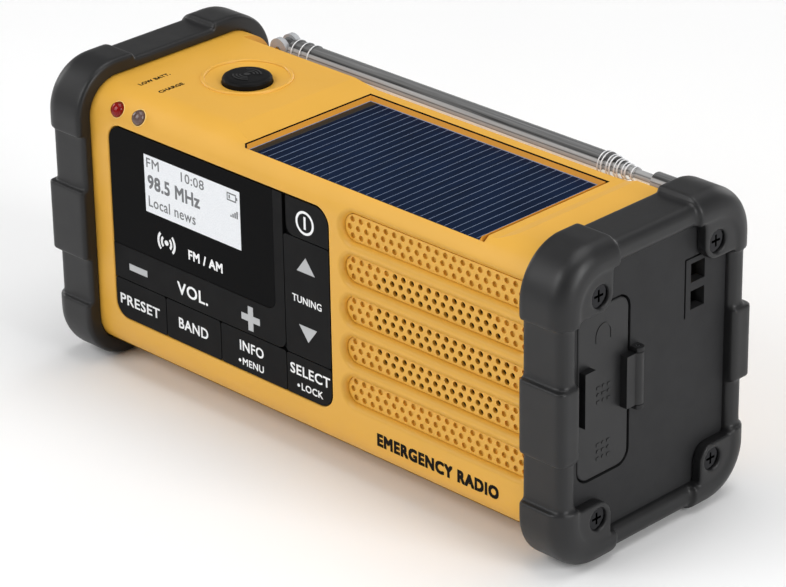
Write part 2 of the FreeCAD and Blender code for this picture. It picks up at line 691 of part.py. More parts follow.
def lug_webs():
    """Corner webs that join each screw lug to the bumper bar."""
    webs = []
    for front, level in SCREW_PLACES:
        y, z = end_screw_place(front, level)
        edge_y = "%d * (plate_half_depth + 3)" % front
        edge_z = "mid_level + %d * (plate_half_height + 3)" % level
        for first, second in (((y, z + " - lug_radius"), (edge_y, z + " + lug_radius")),
                              ((y + " - lug_radius", z), (y + " + lug_radius", edge_z))):
            low = [min((first[i], second[i]), key=number) for i in (0, 1)]
            high = [max((first[i], second[i]), key=number) for i in (0, 1)]
            webs.append((low[0], low[1], high[0], high[1]))
    return webs


def end_screws(name, side):
    """Four cross-head screws that hold an end plate and its bumper."""
    heads = end_screw_rods(name + "_head", side, "plate_face + 0.02", "2.5",
                           "screw_head_radius")
    shanks = end_screw_rods(name + "_shank", side, "86", "plate_face - 85", "1.5")
    crosses = []
    for index, (front, level) in enumerate(SCREW_PLACES):
        y, z = end_screw_place(front, level)
        low = "plate_face + 1.5" if side > 0 else "-1 * plate_face - 3"
        high = "plate_face + 3" if side > 0 else "-1 * plate_face - 1.5"
        crosses.append(box("%s_slot_a%d" % (name, index), (low, y + " - 1.7", z + " - 0.35"),
                           (high, y + " + 1.7", z + " + 0.35")))
        crosses.append(box("%s_slot_b%d" % (name, index), (low, y + " - 0.35", z + " - 1.7"),
                           (high, y + " + 0.35", z + " + 1.7")))
    screws = []
    for index in range(4):
        solid = fuse("%s_solid%d" % (name, index), [heads[index], shanks[index]])
        screws.append(cut("%s_screw%d" % (name, index), solid,
                          crosses[2 * index:2 * index + 2]))
    return group(name, screws)


def rear_screws():
    """Four screws that hold the shells together, sunk in the back."""
    screws = []
    for index, (x, z) in enumerate(POST_PLACES):
        head = cylinder("rear_screw_head%d" % index, "y", (x, "28.62", z), "2", "3")
        shank = cylinder("rear_screw_shank%d" % index, "y", (x, "20.4", z), "9", "1.5")
        slot = box("rear_screw_slot%d" % index, (x - 2, "29.9", z - 0.4),
                   (x + 2, "32", z + 0.4))
        screws.append(cut("rear_screw%d" % index,
                          fuse("rear_screw_solid%d" % index, [head, shank]), [slot]))
    return group("rear_screws", screws)


# ---------------------------------------------------------------- control panel
def key_outlines():
    """Outline of every key: left, low, right, high, as formulas."""
    first, second = "-55.9", "-33.1"
    low, high = "panel_low + 2 * key_gap", "row_high - key_gap"
    row = {
        "preset_key": ("panel_left + 2 * key_gap", low, first + " - key_gap", high),
        "band_key": (first + " + key_gap", low, second + " - key_gap", high),
        "info_key": (second + " + key_gap", low, "column_left - key_gap", high),
        "select_key": ("column_left + key_gap", low, "panel_right - 2 * key_gap", high),
    }
    row["power_key"] = ("column_left + 1.3", "power_low + key_gap",
                        "panel_right - 2 * key_gap", "panel_high - 2 * key_gap")
    row["tuning_rocker"] = ("column_left + key_gap", "row_high + key_gap",
                            "panel_right - 2 * key_gap", "power_low - key_gap")
    row["vol_rocker"] = ("panel_left + 2 * key_gap", "row_high + key_gap",
                         "column_left - key_gap", "lens_low - key_gap")
    return row


def middle(first, second):
    """Formula for the middle of two formulas."""
    return "((%s) + (%s)) / 2" % (first, second)


def stem_places(name, outline):
    """Where the stems of a key pass the plate: one, or two on a rocker."""
    left, low, right, high = outline
    x, z = middle(left, right), middle(low, high)
    if name == "vol_rocker":
        return [(x + " - 24", z), (x + " + 24", z)]
    if name == "tuning_rocker":
        return [(x, z + " - 11"), (x, z + " + 11")]
    return [(x, z)]


def panel_bounds(name):
    """Block with the panel's rounded outline, less the gap round the keys."""
    return plate(name, "XZ_Plane", "key_face - 1", "5",
                 ("panel_left + 2 * key_gap", "panel_low + 2 * key_gap",
                  "panel_right - 2 * key_gap", "panel_high - 2 * key_gap",
                  "panel_radius - 2 * key_gap"))


def key_cap(name, outline):
    """Front of a key, before it is trimmed to the panel's outline."""
    left, low, right, high = outline
    if name == "power_key":
        return plate(name + "_cap", "XZ_Plane", "key_face", "key_thick",
                     (left, low, right + " + 9", high + " + 9", "key_corner"))
    if name == "vol_rocker":
        flat = plate(name + "_flat", "XZ_Plane", "key_face", "key_thick",
                     (left + " - 9", low, right, "panel_high + 9", "key_corner"))
        window = plate(name + "_window", "XZ_Plane", "key_face - 1", "9",
                       (left + " - 12", "lens_low", "lens_right", "panel_high + 12",
                        "key_corner + key_gap"))
        return cut(name + "_cap", flat, [window])
    return plate(name + "_cap", "XZ_Plane", "key_face", "key_thick", outline + ("0.8",))


def key(name, outline):
    """A key cap that fits the panel's rounded outline, with square stems behind it."""
    solids = [common(name + "_trimmed", [key_cap(name, outline), panel_bounds(name + "_bounds")])]
    for index, (x, z) in enumerate(stem_places(name, outline)):
        solids.append(box("%s_stem%d" % (name, index), (x + " - 2", "key_face + 0.5", z + " - 2"),
                          (x + " + 2", "bezel_back + 0.4", z + " + 2")))
    return fuse(name, solids)


def control_bezel():
    """Plate behind the keys, open where the display and the key stems pass."""
    edge = ("panel_left + key_gap", "panel_low + key_gap", "panel_right - key_gap",
            "panel_high - key_gap", "panel_radius - key_gap")
    flat = plate("bezel_flat", "XZ_Plane", "bezel_face", "bezel_back - bezel_face", edge)
    tools = [box("lcd_opening", ("-62.9", "-40", "54.7"), ("-23.2", "-10", "72.8"))]
    for name, outline in key_outlines().items():
        for index, (x, z) in enumerate(stem_places(name, outline)):
            tools.append(box("%s_stem_hole%d" % (name, index), (x + " - 2.3", "-40", z + " - 2.3"),
                             (x + " + 2.3", "-10", z + " + 2.3")))
    return cut("control_bezel", flat, tools)


def display_window():
    """Glossy cover in front of the display."""
    lens = plate("window_flat", "XZ_Plane", "key_face + 0.1", "bezel_face - key_face - 0.1",
                 ("panel_left - 9", "lens_low + key_gap", "lens_right - key_gap",
                  "panel_high + 9", "key_corner"))
    return common("display_window", [lens, panel_bounds("window_bounds")])


def lcd_module():
    """Display glass with its frame, behind the plate's opening."""
    glass = box("lcd_glass", ("-62.6", "bezel_face + 0.4", "55"), ("-23.5", "bezel_back", "72.5"))
    frame = box("lcd_frame", ("-66", "bezel_back", "51.5"), ("-20", "bezel_back + 3.4", "76"))
    return fuse("lcd_module", [glass, frame])


def tact_places():
    """Centre of every key switch, as formulas."""
    places = []
    for name, outline in key_outlines().items():
        places += stem_places(name, outline)
    return places


def key_board():
    """Circuit board that carries the key switches, cut away round the display."""
    board = plate("key_board_flat", "XZ_Plane", "-25.4", "1.2", ("-76", "19", "10", "76", "2"))
    gap = box("key_board_gap", ("-80", "-40", "44"), ("-8", "0", "90"))
    return cut("key_board", board, [gap])


def tact_switches():
    """Small square switches behind the key stems, one behind each stem."""
    switches = []
    for index, (x, z) in enumerate(tact_places()):
        base = box("tact_base%d" % index, (x + " - 3", "-26.8", z + " - 3"),
                   (x + " + 3", "-25.4", z + " + 3"))
        nib = cylinder("tact_nib%d" % index, "y", (x, "-27.6", z), "1", "1.6")
        switches.append(fuse("tact%d" % index, [base, nib]))
    return group("tact_switches", switches)


def main_board():
    """Receiver board with its shielding can and chips."""
    board = plate("main_board_flat", "XZ_Plane", "-18", "1.6", ("-74", "10", "18", "76", "2"))
    can = plate("tuner_can", "XZ_Plane", "-16.4", "4", ("-66", "40", "-34", "68", "1"))
    chips = [box("chip%d" % index, (x, "-16.4", z), (x + 9, "-15.2", z + 9))
             for index, (x, z) in enumerate(((-22, 58), (-6, 58), (-60, 18)))]
    return fuse("main_board", [board, can] + chips)


def indicator(name, x):
    """Indicator lamp: a domed rod in the rounded edge."""
    body = led_rod(name + "_rod", x, "-7", "7.3", "led_radius")
    return rounded(name, body, "1.2", lambda spot, edge: spot.y < -30.5 and edge.Length > 5)


def siren_button():
    """Domed round button on top, on a stem through the roof."""
    return lathe("siren_button", "z", ("siren_x", "siren_y", "0"), (
        ("79.4", "0"), ("79.4", "9.6"), ("80.2", "9.6"), ("80.2", "siren_radius"),
        ("86.9", "siren_radius"), ("87.4", "siren_radius - 0.3"), ("87.7", "siren_radius - 0.8"),
        ("87.85", "siren_radius - 1.6"), ("87.95", "0")))


def solar_panel():
    """Solar cell under a clear face."""
    inset = "solar_inset"
    return box("solar_panel", ("solar_left + " + inset, "solar_front + 0.05", "solar_floor"),
               ("solar_right - " + inset, "solar_back - " + inset, "solar_floor + solar_thick"))


# ---------------------------------------------------------------- loudspeaker
def grille_holes():
    """Through and blind holes of the grille: rows in each slot, staggered."""
    through, blind = [], []
    pitch, rise = number("hole_pitch"), number("hole_pitch") * 0.78
    for level in slot_levels():
        for row in (-1, 0, 1):
            z = number(level) + row * rise
            x = number("slot_left") + (2.9 if row else 1.8)
            while x < number("slot_right") - (2.6 if row else 1.5):
                across = (x - number("speaker_x")) / 26.0
                up = (z - number("speaker_z")) / 20.5
                (through if math.hypot(across, up) < 1 else blind).append((x, z))
                x += pitch
    return through, blind


def hole_tools(name, places, start, length):
    """One compound of rods for the grille's holes."""
    radius = number("hole_radius")
    rods = [Part.makeCylinder(radius, length, Vector(x, start, z), Vector(0, 1, 0))
            for x, z in places]
    tools = doc.addObject("Part::Feature", name)
    tools.Shape = Part.makeCompound(rods)
    return tools


def speaker_grille():
    """Perforated plate behind the speaker slots."""
    flat = plate("grille_flat", "XZ_Plane", "-1 * case_depth / 2 + wall_thick", "1.6",
                 ("13.5", "18.5", "84.9", "79.7", "1"))
    islands = [slot_block("grille_island%d" % index, level, "island_face",
                          "(-0.5 * case_depth + wall_thick + 0.5 - island_face)", "0.1")
               for index, level in enumerate(slot_levels())]
    flat = fuse("grille_solid", [flat] + islands)
    face = number("island_face")
    through, blind = grille_holes()
    tools = [hole_tools("grille_through", through, face - 1, 5),
             hole_tools("grille_blind", blind, face - 1, 1.7)]
    tools += [cylinder("grille_post%d" % index, "y", (x, "-40", z), "20", "2.7")
              for index, (x, z) in enumerate(POST_PLACES[2:])]
    return cut("speaker_grille", flat, tools)


def speaker_parts():
    """Speaker frame, cone and magnet on one axis."""
    centre = ("speaker_x", "0", "speaker_z")
    frame = lathe("speaker_frame", "y", centre, (
        ("-28.5", "25"), ("-28.5", "speaker_radius"), ("-26.7", "speaker_radius"),
        ("-26.7", "26"), ("-14", "18"), ("-11", "18"), ("-11", "8"), ("-12.5", "8"),
        ("-12.5", "16.8"), ("-14.5", "16.8"), ("-27", "24.4"), ("-27", "25")))
    cone_part = lathe("speaker_cone", "y", centre, (
        ("-28.3", "24.8"), ("-27.2", "24.2"), ("-26.8", "22.5"), ("-16.5", "9"),
        ("-16.5", "0"), ("-17.3", "0"), ("-18.6", "6"), ("-17.6", "9.4"), ("-27.8", "22.9"),
        ("-28.3", "24")))
    magnet = lathe("speaker_magnet", "y", centre, (
        ("-11", "0"), ("-11", "15"), ("-9.6", "15"), ("-9.6", "16.5"), ("-3.4", "16.5"),
        ("-3.4", "15"), ("-2", "15"), ("-2", "0")))
    return [frame, cone_part, magnet]


# ---------------------------------------------------------------- antenna
def antenna_fork():
    """Upright fork that turns on a stud in the channel floor, held by a ring below it."""
    y, z, pivot = "antenna_y", "antenna_z", "antenna_pivot"
    round_end = cylinder("fork_round", "y", (pivot, y + " - 3.3", z), "6.6", "knuckle_radius")
    foot = box("fork_foot", (pivot + " - 3", y + " - 3.3", "channel_floor + 0.15"),
               (pivot + " + 3", y + " + 3.3", z))
    stud = cylinder("fork_stud", "z", (pivot, y, "channel_floor - 4.2"), "5", "fork_stud_radius")
    ring = cylinder("fork_ring", "z", (pivot, y, "channel_floor - 3.6"), "0.8", "2.5")
    slot = box("fork_slot", (pivot + " - 6", y + " - 1.55", z + " - 2.7"),
               (pivot + " + 6", y + " + 1.55", z + " + 6"))
    bore = cylinder("fork_bore", "y", (pivot, y + " - 6", z), "12", "1")
    return cut("antenna_fork", fuse("fork_all", [round_end, foot, stud, ring]), [slot, bore])


def antenna_parts():
    """Swivelling fork, tilt pin, five nested tubes and the tip, lying along X."""
    y, z, pivot = "antenna_y", "antenna_z", "antenna_pivot"
    pin = cylinder("antenna_pin", "y", (pivot, y + " - 3.6", z), "7.2", "0.98")
    tongue_round = cylinder("tongue_round", "y", (pivot, y + " - 1.5", z), "3", "2.5")
    tongue_bar = box("tongue_bar", (pivot, y + " - 1.5", z + " - 2.2"),
                     (pivot + " + 4.2", y + " + 1.5", z + " + 2.2"))
    tongue_bore = cylinder("tongue_bore", "y", (pivot, y + " - 6", z), "12", "1.03")
    sleeve = cylinder("base_sleeve", "x", (pivot + " + 3.7", y, z), "9.2", "3.1")
    rings = [cylinder("base_ring%d" % index, "x", (start, y, z), "0.8", "antenna_radius")
             for index, start in enumerate(("-64.4", "-61.1", "-57.8"))]
    tube = cylinder("main_tube", "x", ("-57", y, z), "112.4", "antenna_radius - 0.25")
    lip = cylinder("main_lip", "x", ("54.0", y, z), "1.8", "antenna_radius")
    inside = cylinder("main_bore", "x", ("-55.6", y, z), "140", "antenna_radius - 0.6")
    first = cut("antenna_section_1", fuse("main_all", [tongue_round, tongue_bar, sleeve] + rings
                                          + [tube, lip]), [tongue_bore, inside])
    sections = [first]
    outer = ["2.85", "2.4", "1.95", "1.5"]
    ends = ["58.2", "60.6", "63.0", "72.0"]
    for index, (radius, end) in enumerate(zip(outer, ends)):
        name = "antenna_section_%d" % (index + 2)
        start = "%.1f" % (-55.0 + 2.0 * index)
        solid = cylinder(name + "_tube", "x", (start, y, z), "(%s) - (%s)" % (end, start), radius)
        if index == len(ends) - 1:
            sections.append(fuse(name, [solid, cylinder(name + "_ring", "x", ("64.2", y, z),
                                                        "1.4", "1.9")]))
            continue
        ring = cylinder(name + "_lip", "x", ("(%s) - 1.4" % end, y, z), "1.4", radius + " + 0.3")
        hollow = cylinder(name + "_bore", "x", (start, y, z), "150", radius + " - 0.4")
        sections.append(cut(name, fuse(name + "_all", [solid, ring]), [hollow]))
    tip = rounded("antenna_tip", cylinder("tip_rod", "x", ("72.0", y, z), "9.6", "2.8"), "0.6",
                  lambda spot, edge: edge.Length > 5)
    return [antenna_fork(), pin] + sections + [tip]


# ---------------------------------------------------------------- crank and generator
def gear_face(teeth, backlash=0.10):
    """Involute gear outline as a face square to Z, centred on the origin."""
    module = number("gear_module")
    pitch_radius = module * teeth / 2
    pressure = math.radians(20)
    base = pitch_radius * math.cos(pressure)
    tip = pitch_radius + 0.9 * module
    root = pitch_radius - 1.25 * module
    involute = math.tan(pressure) - pressure
    half = math.pi / (2 * teeth) - backlash / (2 * pitch_radius)

    def flank(radius):
        """Half the tooth's angle at a radius."""
        if radius <= base:
            return half + involute
        angle = math.acos(base / radius)
        return half + involute - (math.tan(angle) - angle)

    stations = [max(root, base) + (tip - max(root, base)) * step / 4 for step in range(5)]
    points = []
    for tooth in range(teeth):
        middle_angle = 2 * math.pi * tooth / teeth
        points.append((root, middle_angle - flank(root)))
        points += [(radius, middle_angle - flank(radius)) for radius in stations]
        points += [(radius, middle_angle + flank(radius)) for radius in reversed(stations)]
        points.append((root, middle_angle + flank(root)))
    corners = []
    for radius, angle in points:
        spot = Vector(radius * math.cos(angle), radius * math.sin(angle), 0)
        if not corners or (spot - corners[-1]).Length > 1e-4:
            corners.append(spot)
    return Part.Face(Part.makePolygon(corners + corners[:1]))


def gear_solid(teeth, bore, x, z, start, thickness, turn):
    """A gear on an axis along Y, its first tooth turned from +X towards +Z by an angle."""
    blank = gear_face(teeth).extrude(Vector(0, 0, thickness))
    blank = blank.cut(Part.makeCylinder(bore, thickness))
    blank.rotate(Vector(0, 0, 0), Vector(0, 0, 1), -turn)
    blank.rotate(Vector(0, 0, 0), Vector(1, 0, 0), -90)
    blank.translate(Vector(x, start, z))
    return blank


def crank_parts():
    """Hub with its shaft, folding arm, knob, and their pins, folded into the bowl."""
    x, z = "crank_x", "mid_level"
    hinge = "crank_x + hinge_reach"
    knob_x = hinge + " - arm_length"
    shaft = cylinder("hub_shaft", "y", (x, "3.2", z), "14", "shaft_radius")
    boss = cylinder("hub_boss", "y", (x, "bowl_floor + 0.4", z), "28.2 - bowl_floor - 0.4",
                    "hub_radius")
    solids = [shaft, boss]
    for index, low in enumerate(("-4.7", "2.7")):
        base = z + " + (%s)" % low
        solids.append(box("hub_ear_foot%d" % index, (hinge + " - 2.1", "27.6", base),
                          (hinge + " + 2.1", "arm_hinge_y", base + " + 2")))
        solids.append(cylinder("hub_ear%d" % index, "z", (hinge, "arm_hinge_y", base), "2", "2.1"))
    pin_bore = cylinder("hub_pin_bore", "z", (hinge, "arm_hinge_y", z + " - 8"), "16", "0.9")
    hub = cut("crank_hub", fuse("hub_all", solids), [pin_bore])
    arm_low, arm_high = "28.6", "32.5"
    wide = box("arm_wide", (knob_x, arm_low, z + " - 4.5"), (hinge + " - 3.4", arm_high,
                                                            z + " + 4.5"))
    end = cylinder("arm_end", "y", (knob_x, arm_low, z), "3.9", "4.5")
    neck = box("arm_neck", (hinge + " - 4", arm_low, z + " - 2.6"), (hinge, arm_high, z + " + 2.6"))
    knuckle = cylinder("arm_knuckle", "z", (hinge, "arm_hinge_y", z + " - 2.6"), "5.2", "2.1")
    arm = cut("crank_arm", fuse("arm_all", [wide, end, neck, knuckle]), [
        cylinder("arm_pin_bore", "z", (hinge, "arm_hinge_y", z + " - 8"), "16", "0.95"),
        cylinder("arm_knob_bore", "y", (knob_x, "20", z), "20", "1.5")])
    hinge_pin = cylinder("crank_hinge_pin", "z", (hinge, "arm_hinge_y", z + " - 4.7"), "9.4",
                         "0.9")
    knob_pin = fuse("knob_pin", [
        cylinder("knob_pin_rod", "y", (knob_x, "17", z), "15.5", "1.5"),
        cylinder("knob_pin_head", "y", (knob_x, "16.5", z), "0.9", "2.9")])
    knob = lathe("crank_knob", "y", (knob_x, "0", z), (
        ("16.3", "3.2"), ("16.3", "5.2"), ("17.2", "6.1"), ("18.6", "knob_radius"),
        ("26", "knob_radius - 0.4"), ("28.3", "knob_radius - 1.1"), ("28.3", "1.56"),
        ("17.6", "1.56"), ("17.6", "3.2")))
    return [hub, arm, hinge_pin, knob_pin, knob]


def gear_train():
    """Crank gear, compound idler and generator pinion, in mesh at rest."""
    module = number("gear_module")
    crank_x, level = number("crank_x"), number("mid_level")
    reach = module * (CRANK_TEETH + IDLER_PINION_TEETH) / 2
    drop = module * (IDLER_WHEEL_TEETH + GENERATOR_TEETH) / 2
    idler_x = crank_x - reach
    parts = []
    crank_gear = doc.addObject("Part::Feature", "crank_gear")
    crank_gear.Shape = gear_solid(CRANK_TEETH, number("shaft_radius"), crank_x, level, 8.6, 2.8, 0)
    parts.append(crank_gear)
    # the idler pinion shows a gap towards the crank gear's tooth; its wheel has a tooth down
    idler = doc.addObject("Part::Feature", "idler_gear")
    pinion = gear_solid(IDLER_PINION_TEETH, 1.06, idler_x, level, 7.5, 3.9,
                        180.0 / IDLER_PINION_TEETH)
    wheel = gear_solid(IDLER_WHEEL_TEETH, 1.06, idler_x, level, 5.2, 2.4,
                       -90.0)
    idler.Shape = pinion.fuse(wheel).removeSplitter()
    parts.append(idler)
    teeth = doc.addObject("Part::Feature", "generator_teeth")
    teeth.Shape = gear_solid(GENERATOR_TEETH, 0.9, idler_x, level - drop, 5.2, 2.4,
                             90.0 + 180.0 / GENERATOR_TEETH)
    shaft = cylinder("generator_shaft", "y", (idler_x, "-7.5", level - drop), "15.4", "1")
    parts.append(fuse("generator_pinion", [teeth, shaft]))
    body = cylinder("generator_can", "y", (idler_x, "-11", level - drop), "14", "13")
    nose = cylinder("generator_nose", "y", (idler_x, "3", level - drop), "1.5", "4")
    bore = cylinder("generator_bore", "y", (idler_x, "-8", level - drop), "20", "1.03")
    parts.append(cut("generator", fuse("generator_all", [body, nose]), [bore]))
    mount = plate("gearbox_flat", "XZ_Plane", "3", "1.5", ("-24", "8", "36", "60", "3"),
                  ((str(idler_x), str(level - drop), "4.05"),
                   ("crank_x", "mid_level", "shaft_radius + running_gap")))
    post = cylinder("idler_post", "y", (idler_x, "4.4", level), "8.2", "1")
    parts.append(fuse("gearbox_plate", [mount, post]))
    return parts


# ---------------------------------------------------------------- battery
def battery_parts():
    """Holder, two contacts, one lithium cell and the lift-off door."""
    z = "mid_level"
    start = "-82.2"
    tray = box("holder_block", ("-84", "10.6", z + " - 11.5"), ("-15.5", "28", z + " + 11.5"))
    room = box("holder_room", ("-82.8", "11.9", z + " - 10"), ("-16.7", "40", z + " + 10"))
    holder = cut("battery_holder", tray, [room])
    plates = [
        box("contact_minus", ("-82.78", "14", z + " - 5"), ("-82.2", "27", z + " + 5")),
        box("contact_plus", ("-17.2", "14", z + " - 5"), ("-16.72", "27", z + " + 5")),
    ]
    contacts = group("battery_contacts", plates)
    cell = rounded("battery_cell", cylinder("cell_rod", "x", (start, "cell_y", z), "cell_length",
                                            "cell_radius"), "0.8",
                   lambda spot, edge: edge.Length > 20)
    skin = plate("door_skin", "XZ_Plane", "31.0", "1.8",
                 ("door_left", z + " - door_height / 2", "door_right", z + " + door_height / 2",
                  "1.5"))
    ridges = [box("door_grip%d" % index, ("door_right - %d" % (5 + 2 * index), "32.6", z + " - 7"),
                  ("door_right - %d + 0.9" % (5 + 2 * index), "33.3", z + " + 7"))
              for index in range(4)]
    return [holder, contacts, cell, fuse("battery_door", [skin] + ridges)]


# ---------------------------------------------------------------- sockets and torch
def port_parts():
    """Port cover with its hinge pin, the sockets and their board."""
    flat = plate("cover_flat", "YZ_Plane", "94.2", "1.9",
                 ("cover_front", "cover_low", "cover_back", "cover_high", "cover_radius"))
    flap = rounded("cover_flap", flat, "0.5", lambda spot, edge: spot.x > 96)
    web = box("cover_web", ("95.9", "cover_back - 3", "hinge_low"),
              ("98.4", "cover_hinge_y", "hinge_high"))
    barrel = cylinder("cover_barrel", "z", ("cover_hinge_x", "cover_hinge_y", "hinge_low"),
                      "hinge_high - hinge_low", "hinge_radius")
    tab = box("cover_tab", ("95.9", "cover_front + 0.6", "hinge_low"),
              ("98.2", "cover_front + 4.6", "hinge_high + 0.7"))
    bore = cylinder("cover_bore", "z", ("cover_hinge_x", "cover_hinge_y", "30"), "40", "0.85")
    cover = cut("port_cover", fuse("cover_all", [flap, web, barrel, tab]), [bore])
    pin = cylinder("port_hinge_pin", "z", ("cover_hinge_x", "cover_hinge_y", "hinge_low - 1.3"),
                   "hinge_high - hinge_low + 2.6", "0.8")
    jack_all = fuse("jack_all", [
        cylinder("jack_nose", "x", ("88", "port_y", "64"), "5.4", "3.4"),
        box("jack_body", ("78.6", "port_y - 4", "60.5"), ("89.9", "port_y + 4", "67.5"))])
    jack = cut("headphone_jack", jack_all, [
        cylinder("jack_room", "x", ("79.4", "port_y", "64"), "20", "jack_bore")])
    usb_c = cut("usb_c", box("usb_c_shell", ("84", "port_y - 4.5", "45.1"),
                             ("93.3", "port_y + 4.5", "48.9")),
                [box("usb_c_room", ("85", "port_y - 4", "45.6"), ("95", "port_y + 4", "48.4"))])
    usb_a = cut("usb_a", box("usb_a_shell", ("84", "port_y - 6.6", "28.4"),
                             ("93.3", "port_y + 6.6", "35")),
                [box("usb_a_room", ("85", "port_y - 6.1", "28.9"),
                     ("95", "port_y + 6.1", "34.5"))])
    board = plate("port_board", "YZ_Plane", "82.4", "1.6", ("-28", "24", "-8", "60.5", "1.5"))
    return [cover, pin, jack, group("usb_sockets", [usb_c, usb_a]), board]


def torch_parts():
    """Torch in the left end: lens, reflector and lamp board."""
    centre = ("0", "0", "mid_level")
    lens = lathe("torch_lens", "x", centre, (
        ("-96.9", "0"), ("-96.7", "torch_radius - 6"), ("-96.2", "torch_radius"),
        ("-94.1", "torch_radius"), ("-94.1", "0")))
    reflector = lathe("torch_reflector", "x", centre, (
        ("-94", "torch_radius - 2"), ("-94", "torch_radius - 1.3"), ("-89", "12.4"),
        ("-86.2", "6"), ("-86.2", "3.1"), ("-87", "3.1"), ("-89.6", "11.2")))
    board = cylinder("torch_plate", "x", ("-86.1", "0", "mid_level"), "1.4", "9.5")
    lamp = lathe("torch_lamp", "x", centre, (
        ("-89.2", "0"), ("-88.8", "1.6"), ("-87.6", "2.5"), ("-86.1", "2.5"), ("-86.1", "0")))
    return [lens, reflector, fuse("torch_led_board", [board, lamp])]


# ---------------------------------------------------------------- the whole radio
def build():
    """Build every sub-part and return the finished objects."""
    right_bumper = bumper()
    parts = [front_shell(), rear_shell(), end_plate_left(), end_plate_right(), right_bumper,
             mirrored("bumper_left", right_bumper),
             end_screws("cap_screws_left", -1), end_screws("cap_screws_right", 1), rear_screws(),
             control_bezel(), display_window(), lcd_module(), key_board(), tact_switches(),
             main_board(), indicator("low_battery_led", LAMP_PLACES[0]),
             indicator("charge_led", LAMP_PLACES[1]), siren_button(), solar_panel(),
             speaker_grille()]
    parts += [key(name, outline) for name, outline in key_outlines().items()]
    parts += speaker_parts()
    parts += antenna_parts()
    parts += crank_parts()
    parts += gear_train()
    parts += battery_parts()
    parts += port_parts()
    parts += torch_parts()
    doc.recompute()
    return parts


def check(parts):
    """Stop if any object failed, or any sub-part is null or not valid."""
    failed = [thing.Name for thing in doc.Objects
              if "Invalid" in thing.State or "Error" in thing.State]
    for part in parts:
        if part.Shape.isNull() or not part.Shape.isValid() or not part.Shape.Solids:
            failed.append(part.Name)
    if failed:
        raise ValueError("failed: " + ", ".join(failed))


def write(parts):
    """Write each sub-part to parts/NODE.step."""
    os.makedirs("parts", exist_ok=True)
    for part in parts:
        part.Label = part.Name
        part.Shape.exportStep("parts/%s.step" % part.Label)


finished = build()
check(finished)
write(finished)
print(len(finished), "sub-parts")
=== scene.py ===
"""Looks of the emergency radio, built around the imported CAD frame."""
import math

import bmesh
import bpy
from mathutils import Matrix, Vector


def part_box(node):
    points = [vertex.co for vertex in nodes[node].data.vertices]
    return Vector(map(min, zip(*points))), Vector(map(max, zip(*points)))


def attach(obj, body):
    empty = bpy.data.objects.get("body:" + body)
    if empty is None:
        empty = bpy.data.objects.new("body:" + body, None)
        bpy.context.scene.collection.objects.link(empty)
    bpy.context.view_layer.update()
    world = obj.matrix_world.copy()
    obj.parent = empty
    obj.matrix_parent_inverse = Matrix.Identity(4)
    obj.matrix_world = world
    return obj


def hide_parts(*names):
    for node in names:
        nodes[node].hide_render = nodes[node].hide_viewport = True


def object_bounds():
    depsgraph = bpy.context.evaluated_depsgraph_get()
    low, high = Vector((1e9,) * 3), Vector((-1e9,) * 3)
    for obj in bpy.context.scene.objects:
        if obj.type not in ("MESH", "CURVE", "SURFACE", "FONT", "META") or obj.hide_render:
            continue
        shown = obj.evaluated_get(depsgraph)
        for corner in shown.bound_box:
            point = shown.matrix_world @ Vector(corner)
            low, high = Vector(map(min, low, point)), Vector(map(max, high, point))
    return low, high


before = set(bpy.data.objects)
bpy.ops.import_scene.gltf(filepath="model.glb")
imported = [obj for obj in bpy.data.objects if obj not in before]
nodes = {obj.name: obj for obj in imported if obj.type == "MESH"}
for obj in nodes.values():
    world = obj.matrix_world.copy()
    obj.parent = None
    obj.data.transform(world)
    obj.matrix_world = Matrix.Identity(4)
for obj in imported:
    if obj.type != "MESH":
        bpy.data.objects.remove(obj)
cad_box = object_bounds()
MM = 0.001
LIFT = 0.02 * MM          # how far prints stand off the surface under them
HIGH_ROOF = 87.0 * MM     # roof at the siren button
LOW_ROOF = 85.7 * MM      # roof round the solar cell
GRAIN_DEPTH = 0.04 * MM   # moulding grain


# ---------------------------------------------------------------- materials

def new_material(name):
    """A node material, its tree and its main shader."""
    material = bpy.data.materials.new(name)
    material.use_nodes = True
    tree = material.node_tree
    return material, tree, tree.nodes["Principled BSDF"]


def add_node(tree, kind, **inputs):
    """A node of that kind, with its named inputs set."""
    node = tree.nodes.new(kind)
    for key, value in inputs.items():
        node.inputs[key.replace("_", " ")].default_value = value
    return node


def object_point(tree, stretch=(1, 1, 1)):
    """The point on the surface in the object's own coordinates, in metres."""
    coordinates = tree.nodes.new("ShaderNodeTexCoord")
    mapping = add_node(tree, "ShaderNodeMapping", Scale=stretch)
    tree.links.new(coordinates.outputs["Object"], mapping.inputs["Vector"])
    return mapping.outputs["Vector"]


def coordinate(tree, axis):
    """One coordinate of the surface point, in metres."""
    parts = tree.nodes.new("ShaderNodeSeparateXYZ")
    tree.links.new(object_point(tree), parts.inputs["Vector"])
    return parts.outputs[axis]


def noise(tree, point, scale, detail=2.0, roughness=0.5):
    """Noise of that many cells per metre."""
    node = add_node(tree, "ShaderNodeTexNoise", Scale=scale, Detail=detail, Roughness=roughness)
    tree.links.new(point, node.inputs["Vector"])
    return node.outputs["Fac"]


def rescale(tree, value, first, last, low=0.0, high=1.0):
    """Maps first..last of a value to low..high, and holds it there outside."""
    node = add_node(tree, "ShaderNodeMapRange", From_Min=first, From_Max=last,
                    To_Min=low, To_Max=high)
    tree.links.new(value, node.inputs["Value"])
    return node.outputs["Result"]


def spread(tree, value, low, high):
    """Maps the usual span of a noise to low..high."""
    return rescale(tree, value, 0.3, 0.7, low, high)


def calculate(tree, operation, *values):
    """One arithmetic step; a value is a socket or a number."""
    node = tree.nodes.new("ShaderNodeMath")
    node.operation = operation
    for socket, value in zip(node.inputs, values):
        if isinstance(value, bpy.types.NodeSocket):
            tree.links.new(value, socket)
        else:
            socket.default_value = value
    return node.outputs[0]


